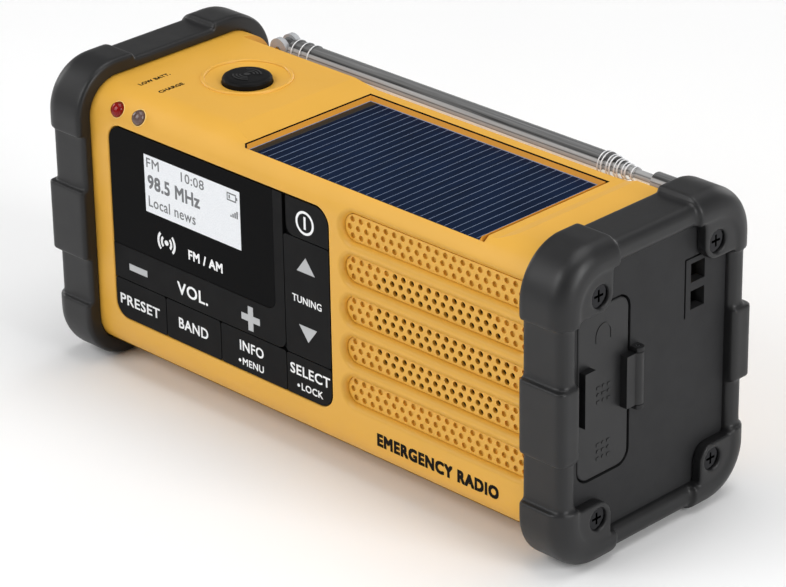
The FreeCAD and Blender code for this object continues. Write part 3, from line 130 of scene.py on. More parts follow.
def mix_colours(tree, factor, first, second):
    """A colour between two, by a factor; a colour is a socket or a tuple."""
    node = tree.nodes.new("ShaderNodeMix")
    node.data_type = "RGBA"
    tree.links.new(factor, node.inputs["Factor"])
    for colour, place in ((first, "A"), (second, "B")):
        socket = [s for s in node.inputs if s.name == place and s.type == "RGBA"][0]
        if isinstance(colour, bpy.types.NodeSocket):
            tree.links.new(colour, socket)
        else:
            socket.default_value = (*colour, 1)
    return [s for s in node.outputs if s.type == "RGBA"][0]


def bump(tree, shader, height, strength, distance):
    """Raises the surface by height times distance in metres, on top of any bump before it."""
    node = add_node(tree, "ShaderNodeBump", Strength=strength, Distance=distance)
    tree.links.new(height, node.inputs["Height"])
    before = shader.inputs["Normal"]
    if before.is_linked:
        tree.links.new(before.links[0].from_socket, node.inputs["Normal"])
    tree.links.new(node.outputs["Normal"], before)


def srgb(red, green, blue):
    """A linear colour from 0-255 display values."""
    def linear(value):
        value = value / 255
        return value / 12.92 if value <= 0.04045 else ((value + 0.055) / 1.055) ** 2.4
    return (linear(red), linear(green), linear(blue))


def shade(colour, factor):
    """The colour made darker or lighter."""
    return tuple(min(1.0, part * factor) for part in colour)


def moulded(name, colour, roughness, grain=2600, strength=0.25, patch=45, variation=0.06,
            coat=0.0, specular=0.5):
    """Moulded plastic or rubber: fine spark grain, slow patches of colour and gloss."""
    material, tree, shader = new_material(name)
    point = object_point(tree)
    slow = spread(tree, noise(tree, point, patch, 3), 0, 1)
    base = mix_colours(tree, slow, shade(colour, 1 - variation), shade(colour, 1 + variation))
    tree.links.new(base, shader.inputs["Base Color"])
    gloss = spread(tree, noise(tree, point, patch * 4, 4), roughness * 0.9, roughness * 1.1)
    tree.links.new(gloss, shader.inputs["Roughness"])
    bump(tree, shader, noise(tree, point, grain, 3, 0.6), strength, GRAIN_DEPTH)
    shader.inputs["Coat Weight"].default_value = coat
    shader.inputs["Coat Roughness"].default_value = 0.12
    shader.inputs["Specular IOR Level"].default_value = specular
    return material


def metal(name, colour, roughness):
    """Metal with fine tool marks and slightly uneven gloss."""
    material, tree, shader = new_material(name)
    marks = noise(tree, object_point(tree), 900, 4, 0.65)
    base = mix_colours(tree, spread(tree, marks, 0, 1), shade(colour, 0.93), shade(colour, 1.05))
    tree.links.new(base, shader.inputs["Base Color"])
    tree.links.new(spread(tree, marks, roughness * 0.75, roughness * 1.25),
                   shader.inputs["Roughness"])
    bump(tree, shader, marks, 0.2, 0.01 * MM)
    shader.inputs["Metallic"].default_value = 1.0
    return material


def clear(name, colour, roughness, transmission):
    """Clear plastic with faint moulding waves."""
    material, tree, shader = new_material(name)
    point = object_point(tree)
    base = mix_colours(tree, spread(tree, noise(tree, point, 300), 0, 1),
                       shade(colour, 0.92), colour)
    tree.links.new(base, shader.inputs["Base Color"])
    tree.links.new(spread(tree, noise(tree, point, 800), roughness * 0.8, roughness * 1.2),
                   shader.inputs["Roughness"])
    bump(tree, shader, noise(tree, point, 500), 0.1, 0.02 * MM)
    shader.inputs["Transmission Weight"].default_value = transmission
    shader.inputs["IOR"].default_value = 1.49
    return material


def display_look():
    """A lit white display with faint dots."""
    material, tree, shader = new_material("display_lit")
    dots = noise(tree, object_point(tree), 5200, 1)
    lit = mix_colours(tree, spread(tree, dots, 0, 1), srgb(206, 209, 213), srgb(228, 230, 233))
    tree.links.new(lit, shader.inputs["Base Color"])
    tree.links.new(lit, shader.inputs["Emission Color"])
    shader.inputs["Emission Strength"].default_value = 0.2
    shader.inputs["Roughness"].default_value = 0.35
    return material


def drawn_chrome():
    """Chromed tube: light and dark bands by height on the stowed tube, and fine long streaks.

    The bands are a painted reflection of the room. A painted glow, a little light of its own,
    keeps the low bright band clear of the yellow that the case throws on it.
    """
    material, tree, shader = new_material("antenna_chrome")
    point = object_point(tree, (0.02, 1, 1))
    fine = noise(tree, point, 1900, 3, 0.6)
    tube_bottom, tube_top = 80.9 * MM, 87.9 * MM
    height = rescale(tree, coordinate(tree, "Z"), tube_bottom, tube_top)
    wave = spread(tree, noise(tree, point, 700, 2), -0.01, 0.01)
    ramp = tree.nodes.new("ShaderNodeValToRGB")
    tree.links.new(calculate(tree, "ADD", height, wave), ramp.inputs["Fac"])
    ramp.color_ramp.elements[0].color = (*srgb(150, 156, 162), 1)
    ramp.color_ramp.elements[1].color = (*srgb(25, 26, 28), 1)
    # painted reflection: grey stops by height on the stowed tube, the low ones tinted cool
    for place, level in ((0.10, 240), (0.36, 250), (0.42, 240), (0.45, 110), (0.50, 155),
                         (0.58, 155), (0.62, 70), (0.66, 150), (0.75, 150), (0.785, 28),
                         (0.83, 22), (0.87, 82), (0.94, 90), (0.985, 62)):
        stop = ramp.color_ramp.elements.new(place)
        painted_cool_tint = 8 if place < 0.43 else 0
        stop.color = (*srgb(level - painted_cool_tint, level, level + painted_cool_tint // 2), 1)
    base = mix_colours(tree, spread(tree, fine, 0, 0.1), ramp.outputs["Color"],
                       srgb(246, 247, 248))
    tree.links.new(base, shader.inputs["Base Color"])
    tree.links.new(spread(tree, fine, 0.16, 0.28), shader.inputs["Roughness"])
    bump(tree, shader, fine, 0.1, 0.01 * MM)
    # painted glow: the tube gives off a little light of its own
    tree.links.new(base, shader.inputs["Emission Color"])
    shader.inputs["Emission Strength"].default_value = 0.22
    shader.inputs["Metallic"].default_value = 0.15
    shader.inputs["Specular IOR Level"].default_value = 0.2
    return material


def solar_look():
    """Deep blue cell with faint streaks along its fingers, under a clear face."""
    material, tree, shader = new_material("solar_blue")
    streaks = noise(tree, object_point(tree, (1, 0.03, 1)), 1400, 3, 0.6)
    clouds = noise(tree, object_point(tree), 60, 2)
    deep = mix_colours(tree, spread(tree, clouds, 0, 1), srgb(8, 18, 35), srgb(13, 26, 49))
    base = mix_colours(tree, spread(tree, streaks, 0, 0.35), deep, srgb(24, 44, 76))
    tree.links.new(base, shader.inputs["Base Color"])
    tree.links.new(spread(tree, streaks, 0.3, 0.45), shader.inputs["Roughness"])
    bump(tree, shader, streaks, 0.05, 0.01 * MM)
    shader.inputs["Specular IOR Level"].default_value = 0.02
    return material


def grille_look(colour):
    """Case plastic with painted shade that darkens with depth, so that the through holes read as
    open.
    """
    material = moulded("grille_yellow", colour, 0.42, grain=3200, strength=0.12, variation=0.02)
    tree = material.node_tree
    base = tree.nodes["Principled BSDF"].inputs["Base Color"]
    dimple_floor, painted_shade_from = -30.8 * MM, -30.3 * MM
    depth = rescale(tree, coordinate(tree, "Y"), dimple_floor, painted_shade_from)
    # painted shade: the hole walls turn near black beyond that depth
    tree.links.new(mix_colours(tree, depth, base.links[0].from_socket, srgb(16, 10, 6)), base)
    return material


def front_look(colour):
    """Case plastic that dips softly towards the five speaker slots."""
    material = moulded("front_yellow", colour, 0.42, grain=3200, strength=0.12, variation=0.02)
    tree = material.node_tree
    middle, pitch, end_centre, half_height = 51.0 * MM, 12.05 * MM, 20.5 * MM, 4.0 * MM
    reach, depth, outer_rows = 2.0 * MM, 0.7 * MM, 2.5
    row = calculate(tree, "DIVIDE", calculate(tree, "SUBTRACT", coordinate(tree, "Z"), middle),
                    pitch)
    row = calculate(tree, "MAXIMUM", calculate(tree, "MINIMUM", row, outer_rows), -outer_rows)
    offset = calculate(tree, "SUBTRACT", row, calculate(tree, "ROUND", row))
    across = calculate(tree, "MULTIPLY", offset, pitch)
    beyond = calculate(tree, "MAXIMUM",
                       calculate(tree, "SUBTRACT", end_centre, coordinate(tree, "X")), 0.0)
    distance = calculate(tree, "SQRT", calculate(
        tree, "ADD", calculate(tree, "MULTIPLY", across, across),
        calculate(tree, "MULTIPLY", beyond, beyond)))
    dip = rescale(tree, distance, half_height, half_height + reach, -depth, 0.0)
    dip.node.interpolation_type = "SMOOTHSTEP"
    bump(tree, tree.nodes["Principled BSDF"], dip, 1.0, 1.0)
    return material


YELLOW = srgb(227, 171, 62)
RUBBER = srgb(25, 25, 26)
PLATE = srgb(38, 38, 39)
KEYS = srgb(16, 16, 17)
WINDOW = srgb(6, 6, 7)

looks = {
    "case_yellow": moulded("case_yellow", YELLOW, 0.42, grain=3200, strength=0.12, variation=0.02),
    "rubber_black": moulded("rubber_black", RUBBER, 0.42, grain=2400, strength=0.22, specular=0.4),
    "plate_black": moulded("plate_black", PLATE, 0.55, grain=2800, strength=0.25, specular=0.2),
    "key_black": moulded("key_black", KEYS, 0.5, grain=3600, strength=0.12, specular=0.1),
    "window_black": moulded("window_black", WINDOW, 0.2, grain=500, strength=0.02, specular=0.04),
    "display_white": moulded("display_white", srgb(225, 228, 230), 0.4, strength=0.05),
    "solar_blue": solar_look(),
    "antenna_chrome": drawn_chrome(),
    "screw_dark": metal("screw_dark", srgb(44, 44, 46), 0.12),
    "pin_steel": metal("pin_steel", srgb(170, 172, 175), 0.25),
    "lamp_red": moulded("lamp_red", srgb(128, 3, 2), 0.12, patch=420, variation=0.35,
                        strength=0.02, specular=0.35),
    "lamp_clear": moulded("lamp_clear", srgb(92, 72, 68), 0.12, patch=420, variation=0.45,
                          strength=0.02, specular=0.45),
    "lens_clear": clear("lens_clear", srgb(245, 247, 250), 0.05, 0.95),
    "reflector_silver": metal("reflector_silver", srgb(225, 226, 228), 0.12),
    "board_green": moulded("board_green", srgb(20, 75, 40), 0.4, strength=0.1),
    "board_parts": moulded("board_parts", srgb(30, 30, 32), 0.45),
    "gear_white": moulded("gear_white", srgb(228, 226, 215), 0.45, strength=0.1),
    "cone_paper": moulded("cone_paper", srgb(30, 29, 28), 0.85, grain=1500, strength=0.6),
    "magnet_steel": metal("magnet_steel", srgb(120, 122, 125), 0.35),
    "cell_wrap": moulded("cell_wrap", srgb(40, 90, 150), 0.35, strength=0.05),
    "contact_brass": metal("contact_brass", srgb(205, 170, 95), 0.3),
    "socket_steel": metal("socket_steel", srgb(150, 152, 155), 0.3),
    "crank_grey": moulded("crank_grey", srgb(36, 37, 39), 0.45, specular=0.25),
    # painted glint: near-white rings stand for the light caught by the chrome collars' edges
    "collar_painted_glint": moulded("collar_painted_glint", srgb(226, 227, 229), 0.2, grain=2500, strength=0.05,
                             coat=0.6),
    # painted shade: a darker, oranger copy of the case yellow for the shaded lip wall round the
    # solar cell
    "lip_painted_shade": moulded("lip_painted_shade", srgb(212, 146, 48), 0.5, strength=0.08, specular=0.2),
    "fork_chrome": moulded("fork_chrome", srgb(182, 184, 187), 0.2, grain=2500, strength=0.05,
                           coat=0.6),
    "grille_yellow": grille_look(YELLOW),
    "front_yellow": front_look(YELLOW),
    # painted highlight: a pale yellow ring stands for the light caught on the edge of each lamp's
    # seat
    "rim_pale": moulded("rim_pale", srgb(244, 205, 120), 0.35, strength=0.05),
    "key_gloss": moulded("key_gloss", srgb(30, 30, 31), 0.3, strength=0.1, specular=0.4),
    "print_white": moulded("print_white", srgb(244, 245, 246), 0.5, strength=0.05),
    "print_grey": moulded("print_grey", srgb(186, 188, 190), 0.45, strength=0.08),
    "print_black": moulded("print_black", srgb(14, 12, 11), 0.55, strength=0.05,
                           specular=0.08),
    "display_lit": display_look(),
    "display_ink": moulded("display_ink", srgb(105, 107, 110), 0.4, strength=0.02),
    "finger_silver": moulded("finger_silver", srgb(138, 154, 182), 0.4, strength=0.05),
    "strip_olive": moulded("strip_olive", srgb(34, 36, 34), 0.3, strength=0.05, specular=0.2),
}


def dress_cad_nodes():
    """Gives each CAD node the finish of its slot, and three of them their own."""
    for node in nodes.values():
        for slot in node.material_slots:
            slot.material = looks[slot.material.name.split(".")[0]]
    for name, look in (("speaker_grille", "grille_yellow"), ("front_shell", "front_yellow"),
                       ("antenna_fork", "fork_chrome")):
        for slot in nodes[name].material_slots:
            slot.material = looks[look]


dress_cad_nodes()


# ---------------------------------------------------------------- piece helpers


def add_piece(name, mesh, look, body):
    """A new piece from a mesh, with its material and body."""
    piece = bpy.data.objects.new(name, mesh)
    bpy.context.scene.collection.objects.link(piece)
    mesh.materials.clear()
    mesh.materials.append(looks[look])
    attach(piece, body)
    return piece


def mesh_of(curve):
    """The mesh that a curve or text makes."""
    holder = bpy.data.objects.new("holder", curve)
    bpy.context.scene.collection.objects.link(holder)
    bpy.context.view_layer.update()
    mesh = bpy.data.meshes.new_from_object(holder.evaluated_get(
        bpy.context.evaluated_depsgraph_get()))
    bpy.data.objects.remove(holder)
    return mesh


def span(mesh):
    """Lowest and highest corner of a mesh."""
    points = [vertex.co for vertex in mesh.vertices]
    return (Vector([min(point[axis] for point in points) for axis in range(3)]),
            Vector([max(point[axis] for point in points) for axis in range(3)]))


FRONT = Matrix(((1, 0, 0), (0, 0, -1), (0, 1, 0)))    # reads from in front
TOP = Matrix(((0, -1, 0), (1, 0, 0), (0, 0, 1)))      # on top, reads towards the back
RIGHT = Matrix(((0, 0, 1), (1, 0, 0), (0, 1, 0)))     # reads from the right end


def lay_flat(mesh, facing, centre, size, depth=0.06 * MM):
    """Scales a flat mesh to a width and height, turns it and sets it on a surface point."""
    low, high = span(mesh)
    middle = (low + high) / 2
    scale = Matrix.Diagonal((size[0] / (high.x - low.x), size[1] / (high.y - low.y),
                             depth / max(high.z - low.z, 1e-9)))
    for vertex in mesh.vertices:
        vertex.co = facing @ (scale @ (vertex.co - middle)) + Vector(centre)
    return mesh


def heavier(mesh, stroke):
    """Overlays four copies of flat lettering, shifted by half a stroke, to make it bolder.

    Each copy stands a little above the one before, so that their faces never share a plane.
    """
    rise = 0.02
    build = bmesh.new()
    for step, (across, up) in enumerate(((-1, -1), (-1, 1), (1, -1), (1, 1))):
        build.from_mesh(mesh)
        for vertex in list(build.verts)[step * len(mesh.vertices):]:
            vertex.co += Vector((across * stroke, up * stroke, step * stroke * rise))
    build.to_mesh(mesh)
    build.free()


def print_text(name, words, facing, centre, size, look, body, weight=0.012, gaps=1.06):
    """Raised lettering of a given width and height on a surface."""
    curve = bpy.data.curves.new(name, "FONT")
    curve.body = words
    curve.extrude = 0.02
    curve.space_character = gaps
    curve.resolution_u = 3
    mesh = mesh_of(curve)
    heavier(mesh, weight)
    mesh = lay_flat(mesh, facing, centre, size)
    mesh.name = name
    add_piece(name, mesh, look, body)


def outline_curve(loops):
    """A filled flat curve from closed loops of points; a loop inside another is a hole."""
    curve = bpy.data.curves.new("outline", "CURVE")
    curve.dimensions = "2D"
    curve.fill_mode = "BOTH"
    curve.extrude = 0.02
    for loop in loops:
        spline = curve.splines.new("POLY")
        spline.points.add(len(loop) - 1)
        for point, (across, up) in zip(spline.points, loop):
            point.co = (across, up, 0, 1)
        spline.use_cyclic_u = True
    return curve


def print_shape(name, loops, facing, centre, size, look, body, depth=0.06 * MM):
    """A raised symbol of a given width and height on a surface."""
    mesh = lay_flat(mesh_of(outline_curve(loops)), facing, centre, size, depth)
    mesh.name = name
    add_piece(name, mesh, look, body)


def circle_loop(radius, steps=48, centre=(0, 0)):
    """Points round a circle."""
    return [(centre[0] + radius * math.cos(2 * math.pi * step / steps),
             centre[1] + radius * math.sin(2 * math.pi * step / steps)) for step in range(steps)]


def rectangle_loop(left, low, right, high):
    """The four corners of a rectangle."""
    return [(left, low), (right, low), (right, high), (left, high)]


def plus_loop(arm, reach):
    """The twelve corners of a plus sign."""
    return [(-arm, -reach), (arm, -reach), (arm, -arm), (reach, -arm), (reach, arm), (arm, arm),
            (arm, reach), (-arm, reach), (-arm, arm), (-reach, arm), (-reach, -arm), (-arm, -arm)]


def arc_band(inner, outer, start, end, steps=20):
    """A closed band along an arc; angles in degrees."""
    angles = [math.radians(start + (end - start) * step / steps) for step in range(steps + 1)]
    out = [(outer * math.cos(angle), outer * math.sin(angle)) for angle in angles]
    back = [(inner * math.cos(angle), inner * math.sin(angle)) for angle in angles]
    return out + back[::-1]


def wave_loops(dot, radii, half_width, sweep):
    """A dot with arcs of that sweep on its right and left, as radio waves are drawn."""
    loops = [circle_loop(dot, 24)]
    for radius in radii:
        for start in (-sweep / 2, 180 - sweep / 2):
            loops.append(arc_band(radius - half_width, radius + half_width, start, start + sweep))
    return loops


# ---------------------------------------------------------------- front panel prints

def surface(node, axis, side):
    """The place of a CAD node's lowest (0) or highest (1) face along an axis."""
    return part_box(node)[side][axis]


def key_legends():
    """White legends printed on the keys; each moves with its key."""
    face = surface("band_key", 1, 0) - LIFT
    # name, words, middle in x and z, width and height in mm, body it moves with
    texts = [
        ("preset_legend", "PRESET", -67.2, 23.9, 16.8, 3.3, "preset_button"),
        ("band_legend", "BAND", -44.6, 24.2, 12.2, 3.3, "band_button"),
        ("info_legend", "INFO", -20.6, 25.8, 9.6, 3.2, "info_button"),
        ("menu_legend", "MENU", -20.2, 20.9, 8.5, 2.2, "info_button"),
        ("select_legend", "SELECT", 2.7, 25.9, 15.6, 3.2, "select_button"),
        ("lock_legend", "LOCK", 3.4, 21.2, 8.4, 2.2, "select_button"),
        ("volume_legend", "VOL.", -44.4, 35.2, 12.6, 3.9, "volume_rocker"),
        ("tuning_legend", "TUNING", 2.2, 47.8, 11.4, 2.2, "tune_rocker"),
    ]
    for name, words, x, z, width, height, body in texts:
        print_text(name, words, FRONT, (x * MM, face, z * MM), (width * MM, height * MM),
                   "print_white", body, 0.016)
    # name, loops, middle in x and z, width and height in mm, look, body it moves with
    symbols = [
        ("menu_dot", [circle_loop(1, 20)], -25.6, 20.9, 1.0, 1.0, "print_white", "info_button"),
        ("lock_dot", [circle_loop(1, 20)], -2.0, 21.2, 1.0, 1.0, "print_white", "select_button"),
        ("tune_up_mark", [[(-1, 0), (1, 0), (0, 1)]], 2.1, 58.6, 7.0, 4.6, "print_grey",
         "tune_rocker"),
        ("tune_down_mark", [[(-1, 1), (0, 0), (1, 1)]], 2.4, 37.9, 7.0, 4.6, "print_grey",
         "tune_rocker"),
        ("volume_minus", [rectangle_loop(0, 0, 4, 1)], -67.2, 35.0, 7.6, 2.0, "print_grey",
         "volume_rocker"),
        ("volume_plus", [plus_loop(1.0, 3.6)], -20.6, 35.2, 7.4, 7.4, "print_grey",
         "volume_rocker"),
        ("power_ring", [circle_loop(3.6), circle_loop(2.85)], 2.2, 71.2, 7.0, 7.0,
         "print_white", "power_button"),
        ("power_bar", [rectangle_loop(0, 0, 1, 7)], 2.2, 71.2, 0.8, 3.7, "print_white",
         "power_button"),
    ]
    for name, loops, x, z, width, height, look, body in symbols:
        print_shape(name, loops, FRONT, (x * MM, face, z * MM), (width * MM, height * MM),
                    look, body)


def display_prints():
    """The lit display behind the window and what it shows, and a plain symbol below."""
    face = surface("display_window", 1, 0)
    left, right = -62.6 * MM, -23.5 * MM
    bottom, top = 55.0 * MM, 72.5 * MM
    centre = ((left + right) / 2, face - 0.015 * MM, (bottom + top) / 2)
    print_shape("display_panel", [rectangle_loop(0, 0, 39.1, 17.5)], FRONT, centre,
                (right - left, top - bottom), "display_lit", "case", 0.05 * MM)
    glass = face - 0.045 * MM
    # name, words, middle in x and z, width and height in mm, weight
    texts = [
        ("display_band", "FM", -59.0, 70.2, 5.2, 2.9, 0.004),
        ("display_time", "10:08", -42.6, 70.0, 9.4, 2.9, 0.004),
        ("display_frequency", "98.5 MHz", -50.6, 64.5, 21.5, 4.3, 0.026),
        ("display_station", "Local news", -51.6, 58.5, 19.4, 3.3, 0.006),
    ]
    for name, words, x, z, width, height, weight in texts:
        print_text(name, words, FRONT, (x * MM, glass, z * MM), (width * MM, height * MM),
                   "display_ink", "case", weight)
    battery = [rectangle_loop(0, 0, 8, 0.8), rectangle_loop(0, 4.2, 8, 5),
               rectangle_loop(0, 0.9, 0.7, 4.1), rectangle_loop(7.3, 0.9, 8, 4.1),
               rectangle_loop(1.6, 1.4, 2.8, 3.6), rectangle_loop(8.1, 1.6, 9, 3.4)]
    print_shape("display_battery", battery, FRONT, (-26.5 * MM, glass, 70.0 * MM),
                (4.2 * MM, 2.4 * MM), "display_ink", "case")
    bars = [rectangle_loop(step * 1.5, 0, step * 1.5 + 1, 1 + step * 1.1) for step in range(4)]
    print_shape("display_signal", bars, FRONT, (-25.9 * MM, glass, 65.2 * MM),
                (3.0 * MM, 2.2 * MM), "display_ink", "case")
    print_shape("radio_waves", wave_loops(0.9, (2.2, 3.8), 0.45, 90), FRONT,
                (-54.6 * MM, face - LIFT, 47.5 * MM), (7.6 * MM, 5.4 * MM), "print_white", "case")
    print_text("receiver_legend", "FM / AM", FRONT, (-38.5 * MM, face - LIFT, 46.9 * MM),
               (14.0 * MM, 3.0 * MM), "print_white", "case", 0.03)


def case_prints():
    """Dark lettering on the yellow case."""
    front = surface("front_shell", 1, 0) - LIFT
    print_text("name_legend", "EMERGENCY RADIO", FRONT, (51.0 * MM, front, 15.6 * MM),
               (45.0 * MM, 3.9 * MM), "print_black", "case", 0.05, 1.12)
    top = HIGH_ROOF + LIFT
    print_text("low_battery_legend", "LOW BATT.", TOP, (-74.2 * MM, -17.3 * MM, top),
               (11.2 * MM, 1.6 * MM), "print_black", "case", 0.03)
    print_text("charge_legend", "CHARGE", TOP, (-66.0 * MM, -18.3 * MM, top),
               (9.0 * MM, 1.6 * MM), "print_black", "case", 0.03)


# ---------------------------------------------------------------- solar cell

def solid_strip(name, rows, look, body):
    """A bar whose closed cross-section runs along rows of matching points."""
    build = bmesh.new()
    rings = [[build.verts.new(point) for point in row] for row in rows]
    for first, second in zip(rings, rings[1:]):
        for step in range(len(first)):
            ahead = (step + 1) % len(first)
            build.faces.new((first[step], first[ahead], second[ahead], second[step]))
    build.faces.new(rings[0])
    build.faces.new(rings[-1][::-1])
    bmesh.ops.recalc_face_normals(build, faces=build.faces)
    mesh = bpy.data.meshes.new(name)
    build.to_mesh(mesh)
    add_piece(name, mesh, look, body)


def mitred_rows(front, left, back, right, section):
    """Section rows along three sides of a rectangle: left side, back and right side."""
    corners = [(left, front, 1, 0), (left, back, 1, -1), (right, back, -1, -1),
               (right, front, -1, 0)]
    return [[(x + inward * to_x, y + inward * to_y, height) for inward, height in section]
            for x, y, to_x, to_y in corners]


def solar_frame():
    """Frame round the cell: a sloped lip coloured in painted shade and a thin pale rim, and a
    black strip beside them at the left and at the back, painted shade in the real gap there.
    Sections are (inwards from the recess wall, height)."""
    low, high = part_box("solar_panel")
    top = high.z
    gap = 1.0 * MM
    around = (low.y - LIFT, low.x - gap, high.y + gap, high.x + gap)
    lip = [(0.8 * MM, top - 0.6 * MM), (0.8 * MM, LOW_ROOF - 0.06 * MM), (0.95 * MM, LOW_ROOF),
           (1.6 * MM, top + 0.15 * MM), (1.6 * MM, top + 0.005 * MM), (0.95 * MM, top - 0.6 * MM)]
    # the lip takes the painted-shade copy of the case yellow
    solid_strip("solar_lip", mitred_rows(*around, lip), "lip_painted_shade", "case")
    # painted shade: a black strip fills the real gap by the recess wall, standing for the shade in
    # it
    gap_shade = [(0.01 * MM, top - 0.4 * MM), (0.01 * MM, LOW_ROOF - LIFT),
             (0.81 * MM, LOW_ROOF - 0.1 * MM), (0.81 * MM, top - 0.4 * MM)]
    solid_strip("solar_gap_shade", mitred_rows(*around, gap_shade)[:3], "window_black", "case")
    rim = [(1.55 * MM, top + 0.005 * MM), (1.55 * MM, top + 0.06 * MM),
           (1.85 * MM, top + 0.04 * MM), (1.85 * MM, top + 0.005 * MM)]
    solid_strip("solar_rim", mitred_rows(*around, rim), "finger_silver", "case")


def solar_details():
    """Thin silver fingers across the cell and a dark strip at its left end."""
    low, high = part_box("solar_panel")
    top = high.z
    fingers = bmesh.new()
    count, half_width = 29, 0.06 * MM
    left, right = low.x + 3.6 * MM, high.x - 0.6 * MM
    for step in range(count):
        x = left + (right - left) * (step + 0.5) / count
        add_bar(fingers, (x - half_width, low.y + 0.3 * MM, top - 0.01 * MM),
                (x + half_width, high.y - 0.6 * MM, top + LIFT))
    mesh = bpy.data.meshes.new("solar_fingers")
    fingers.to_mesh(mesh)
    add_piece("solar_fingers", mesh, "finger_silver", "case")
    strip = bmesh.new()
    add_bar(strip, (low.x + 0.55 * MM, low.y + 0.2 * MM, top - 0.01 * MM),
            (low.x + 3.4 * MM, high.y - 0.55 * MM, top + 0.012 * MM))
    mesh = bpy.data.meshes.new("solar_edge_strip")
    strip.to_mesh(mesh)
    add_piece("solar_edge_strip", mesh, "strip_olive", "case")


def add_bar(build, low, high):
    """A box between two corners, added to a mesh under construction."""
    for vertex in bmesh.ops.create_cube(build, size=1)["verts"]:
        vertex.co = Vector([low[axis] + (vertex.co[axis] + 0.5) * (high[axis] - low[axis])
                            for axis in range(3)])


def turned(name, centre, axis, profile, look, body, steps=64):
    """A closed shape turned about an axis: profile points are (along, radius). A profile that
    starts and ends on the axis makes a full body, and any other makes a ring."""
    build = bmesh.new()
    spin = axis.to_track_quat("Z", "Y").to_matrix()
    rings = []
    for step in range(steps):
        angle = 2 * math.pi * step / steps
        rings.append([build.verts.new(Vector(centre) + spin @ Vector(
            (radius * math.cos(angle), radius * math.sin(angle), along)))
            for along, radius in profile])
    for first, second in zip(rings, rings[1:] + rings[:1]):
        for index in range(len(profile)):
            ahead = (index + 1) % len(profile)
            if profile[index][1] + profile[ahead][1] > 0:
                build.faces.new((first[index], first[ahead], second[ahead], second[index]))
    bmesh.ops.remove_doubles(build, verts=build.verts, dist=1e-7)
    bmesh.ops.recalc_face_normals(build, faces=build.faces)
    mesh = bpy.data.meshes.new(name)
    build.to_mesh(mesh)
    for face in mesh.polygons:
        face.use_smooth = True
    return add_piece(name, mesh, look, body)


def round_profile(along, radius, thick, steps=12):
    """Profile of a torus: its tube's centre and thickness."""
    return [(along + thick * math.sin(2 * math.pi * step / steps),
             radius + thick * math.cos(2 * math.pi * step / steps)) for step in range(steps)]


def antenna_bands():
    """Bright edges of the collars at both ends of the mast: pale rings, a painted glint of the
    chrome.
    """
    axis_y, axis_z, thick = 29.5 * MM, 84.4 * MM, 0.2 * MM
    # place along the mast and radius of its tube there, in mm
    places = [(-64.0, 3.5), (-60.7, 3.5), (-57.4, 3.5), (54.3, 3.5), (55.5, 3.5), (57.1, 3.15),
              (58.1, 3.1), (59.5, 2.7), (60.5, 2.65), (61.9, 2.25), (62.9, 2.2), (64.9, 1.9)]
    for index, (x, radius) in enumerate(places):
        turned("antenna_band_%d" % index, (x * MM, axis_y, axis_z), Vector((1, 0, 0)),
               round_profile(0, (radius - 0.05) * MM, thick), "collar_painted_glint", "antenna_mast")


def dish_rim():
    """Raised rim round the finger dish of the siren button."""
    low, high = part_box("siren_button")
    radius, thick = 12.65 * MM, 0.62 * MM
    centre = ((low.x + high.x) / 2, (low.y + high.y) / 2, HIGH_ROOF - 0.05 * MM)
    turned("dish_rim", centre, Vector((0, 0, 1)), round_profile(0, radius, thick),
           "case_yellow", "case")


def lamp_domes():
    """Glossy domed indicator lamps, each with a thin pale rim where it meets the case, a painted
    highlight on the edge of the lamp's seat.
    """
    lean = math.radians(32)
    out = Vector((0, -math.cos(lean), math.sin(lean)))
    edge_y, edge_z, edge_radius = -22.3 * MM, 76.5 * MM, 10.45 * MM
    rim = round_profile(0, 2.45 * MM, 0.16 * MM, 8)
    dome = [(along * MM, radius * MM) for along, radius in (
        (3.5, 0), (3.5, 2.2), (10.7, 2.2), (11.2, 2.1), (11.7, 1.75), (12.05, 1.25),
        (12.25, 0.65), (12.3, 0))]
    for node, look in (("low_battery_led", "lamp_red"), ("charge_led", "lamp_clear")):
        low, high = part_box(node)
        centre = Vector(((low.x + high.x) / 2, edge_y, edge_z))
        turned(node + "_rim", centre + out * edge_radius, out, rim, "rim_pale", "case",
               40)
        lamp = turned(node + "_dome", centre, out, dome, look, "case")
        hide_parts(node)


def siren_mark():
    """Raised emblem on top of the siren button: a dot with three arcs on each side."""
    low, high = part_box("siren_button")
    centre = ((low.x + high.x) / 2, (low.y + high.y) / 2, high.z - LIFT)
    print_shape("siren_mark", wave_loops(1.0, (2.1, 3.1, 4.1), 0.25, 100), TOP, centre,
                (8.4 * MM, 6.4 * MM), "key_gloss", "top_button", 0.25 * MM)


# ---------------------------------------------------------------- soft rubber

def soften(node, name, look, body):
    """A copy of a CAD node with its edges and seams rounded, as rubber comes from a mould."""
    piece = bpy.data.objects.new(name, nodes[node].data.copy())
    bpy.context.scene.collection.objects.link(piece)
    remesh = piece.modifiers.new("remesh", "REMESH")
    remesh.mode = "VOXEL"
    remesh.voxel_size = 0.45 * MM
    smooth = piece.modifiers.new("smooth", "SMOOTH")
    smooth.factor = 0.5
    smooth.iterations = 8
    thin = piece.modifiers.new("thin", "DECIMATE")
    thin.ratio = 0.45
    bpy.context.view_layer.update()
    finished = bpy.data.meshes.new_from_object(piece.evaluated_get(
        bpy.context.evaluated_depsgraph_get()))
    bpy.data.objects.remove(piece)
    finished.name = name
    for face in finished.polygons:
        face.use_smooth = True
    made = add_piece(name, finished, look, body)
    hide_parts(node)


# ---------------------------------------------------------------- end cover marks

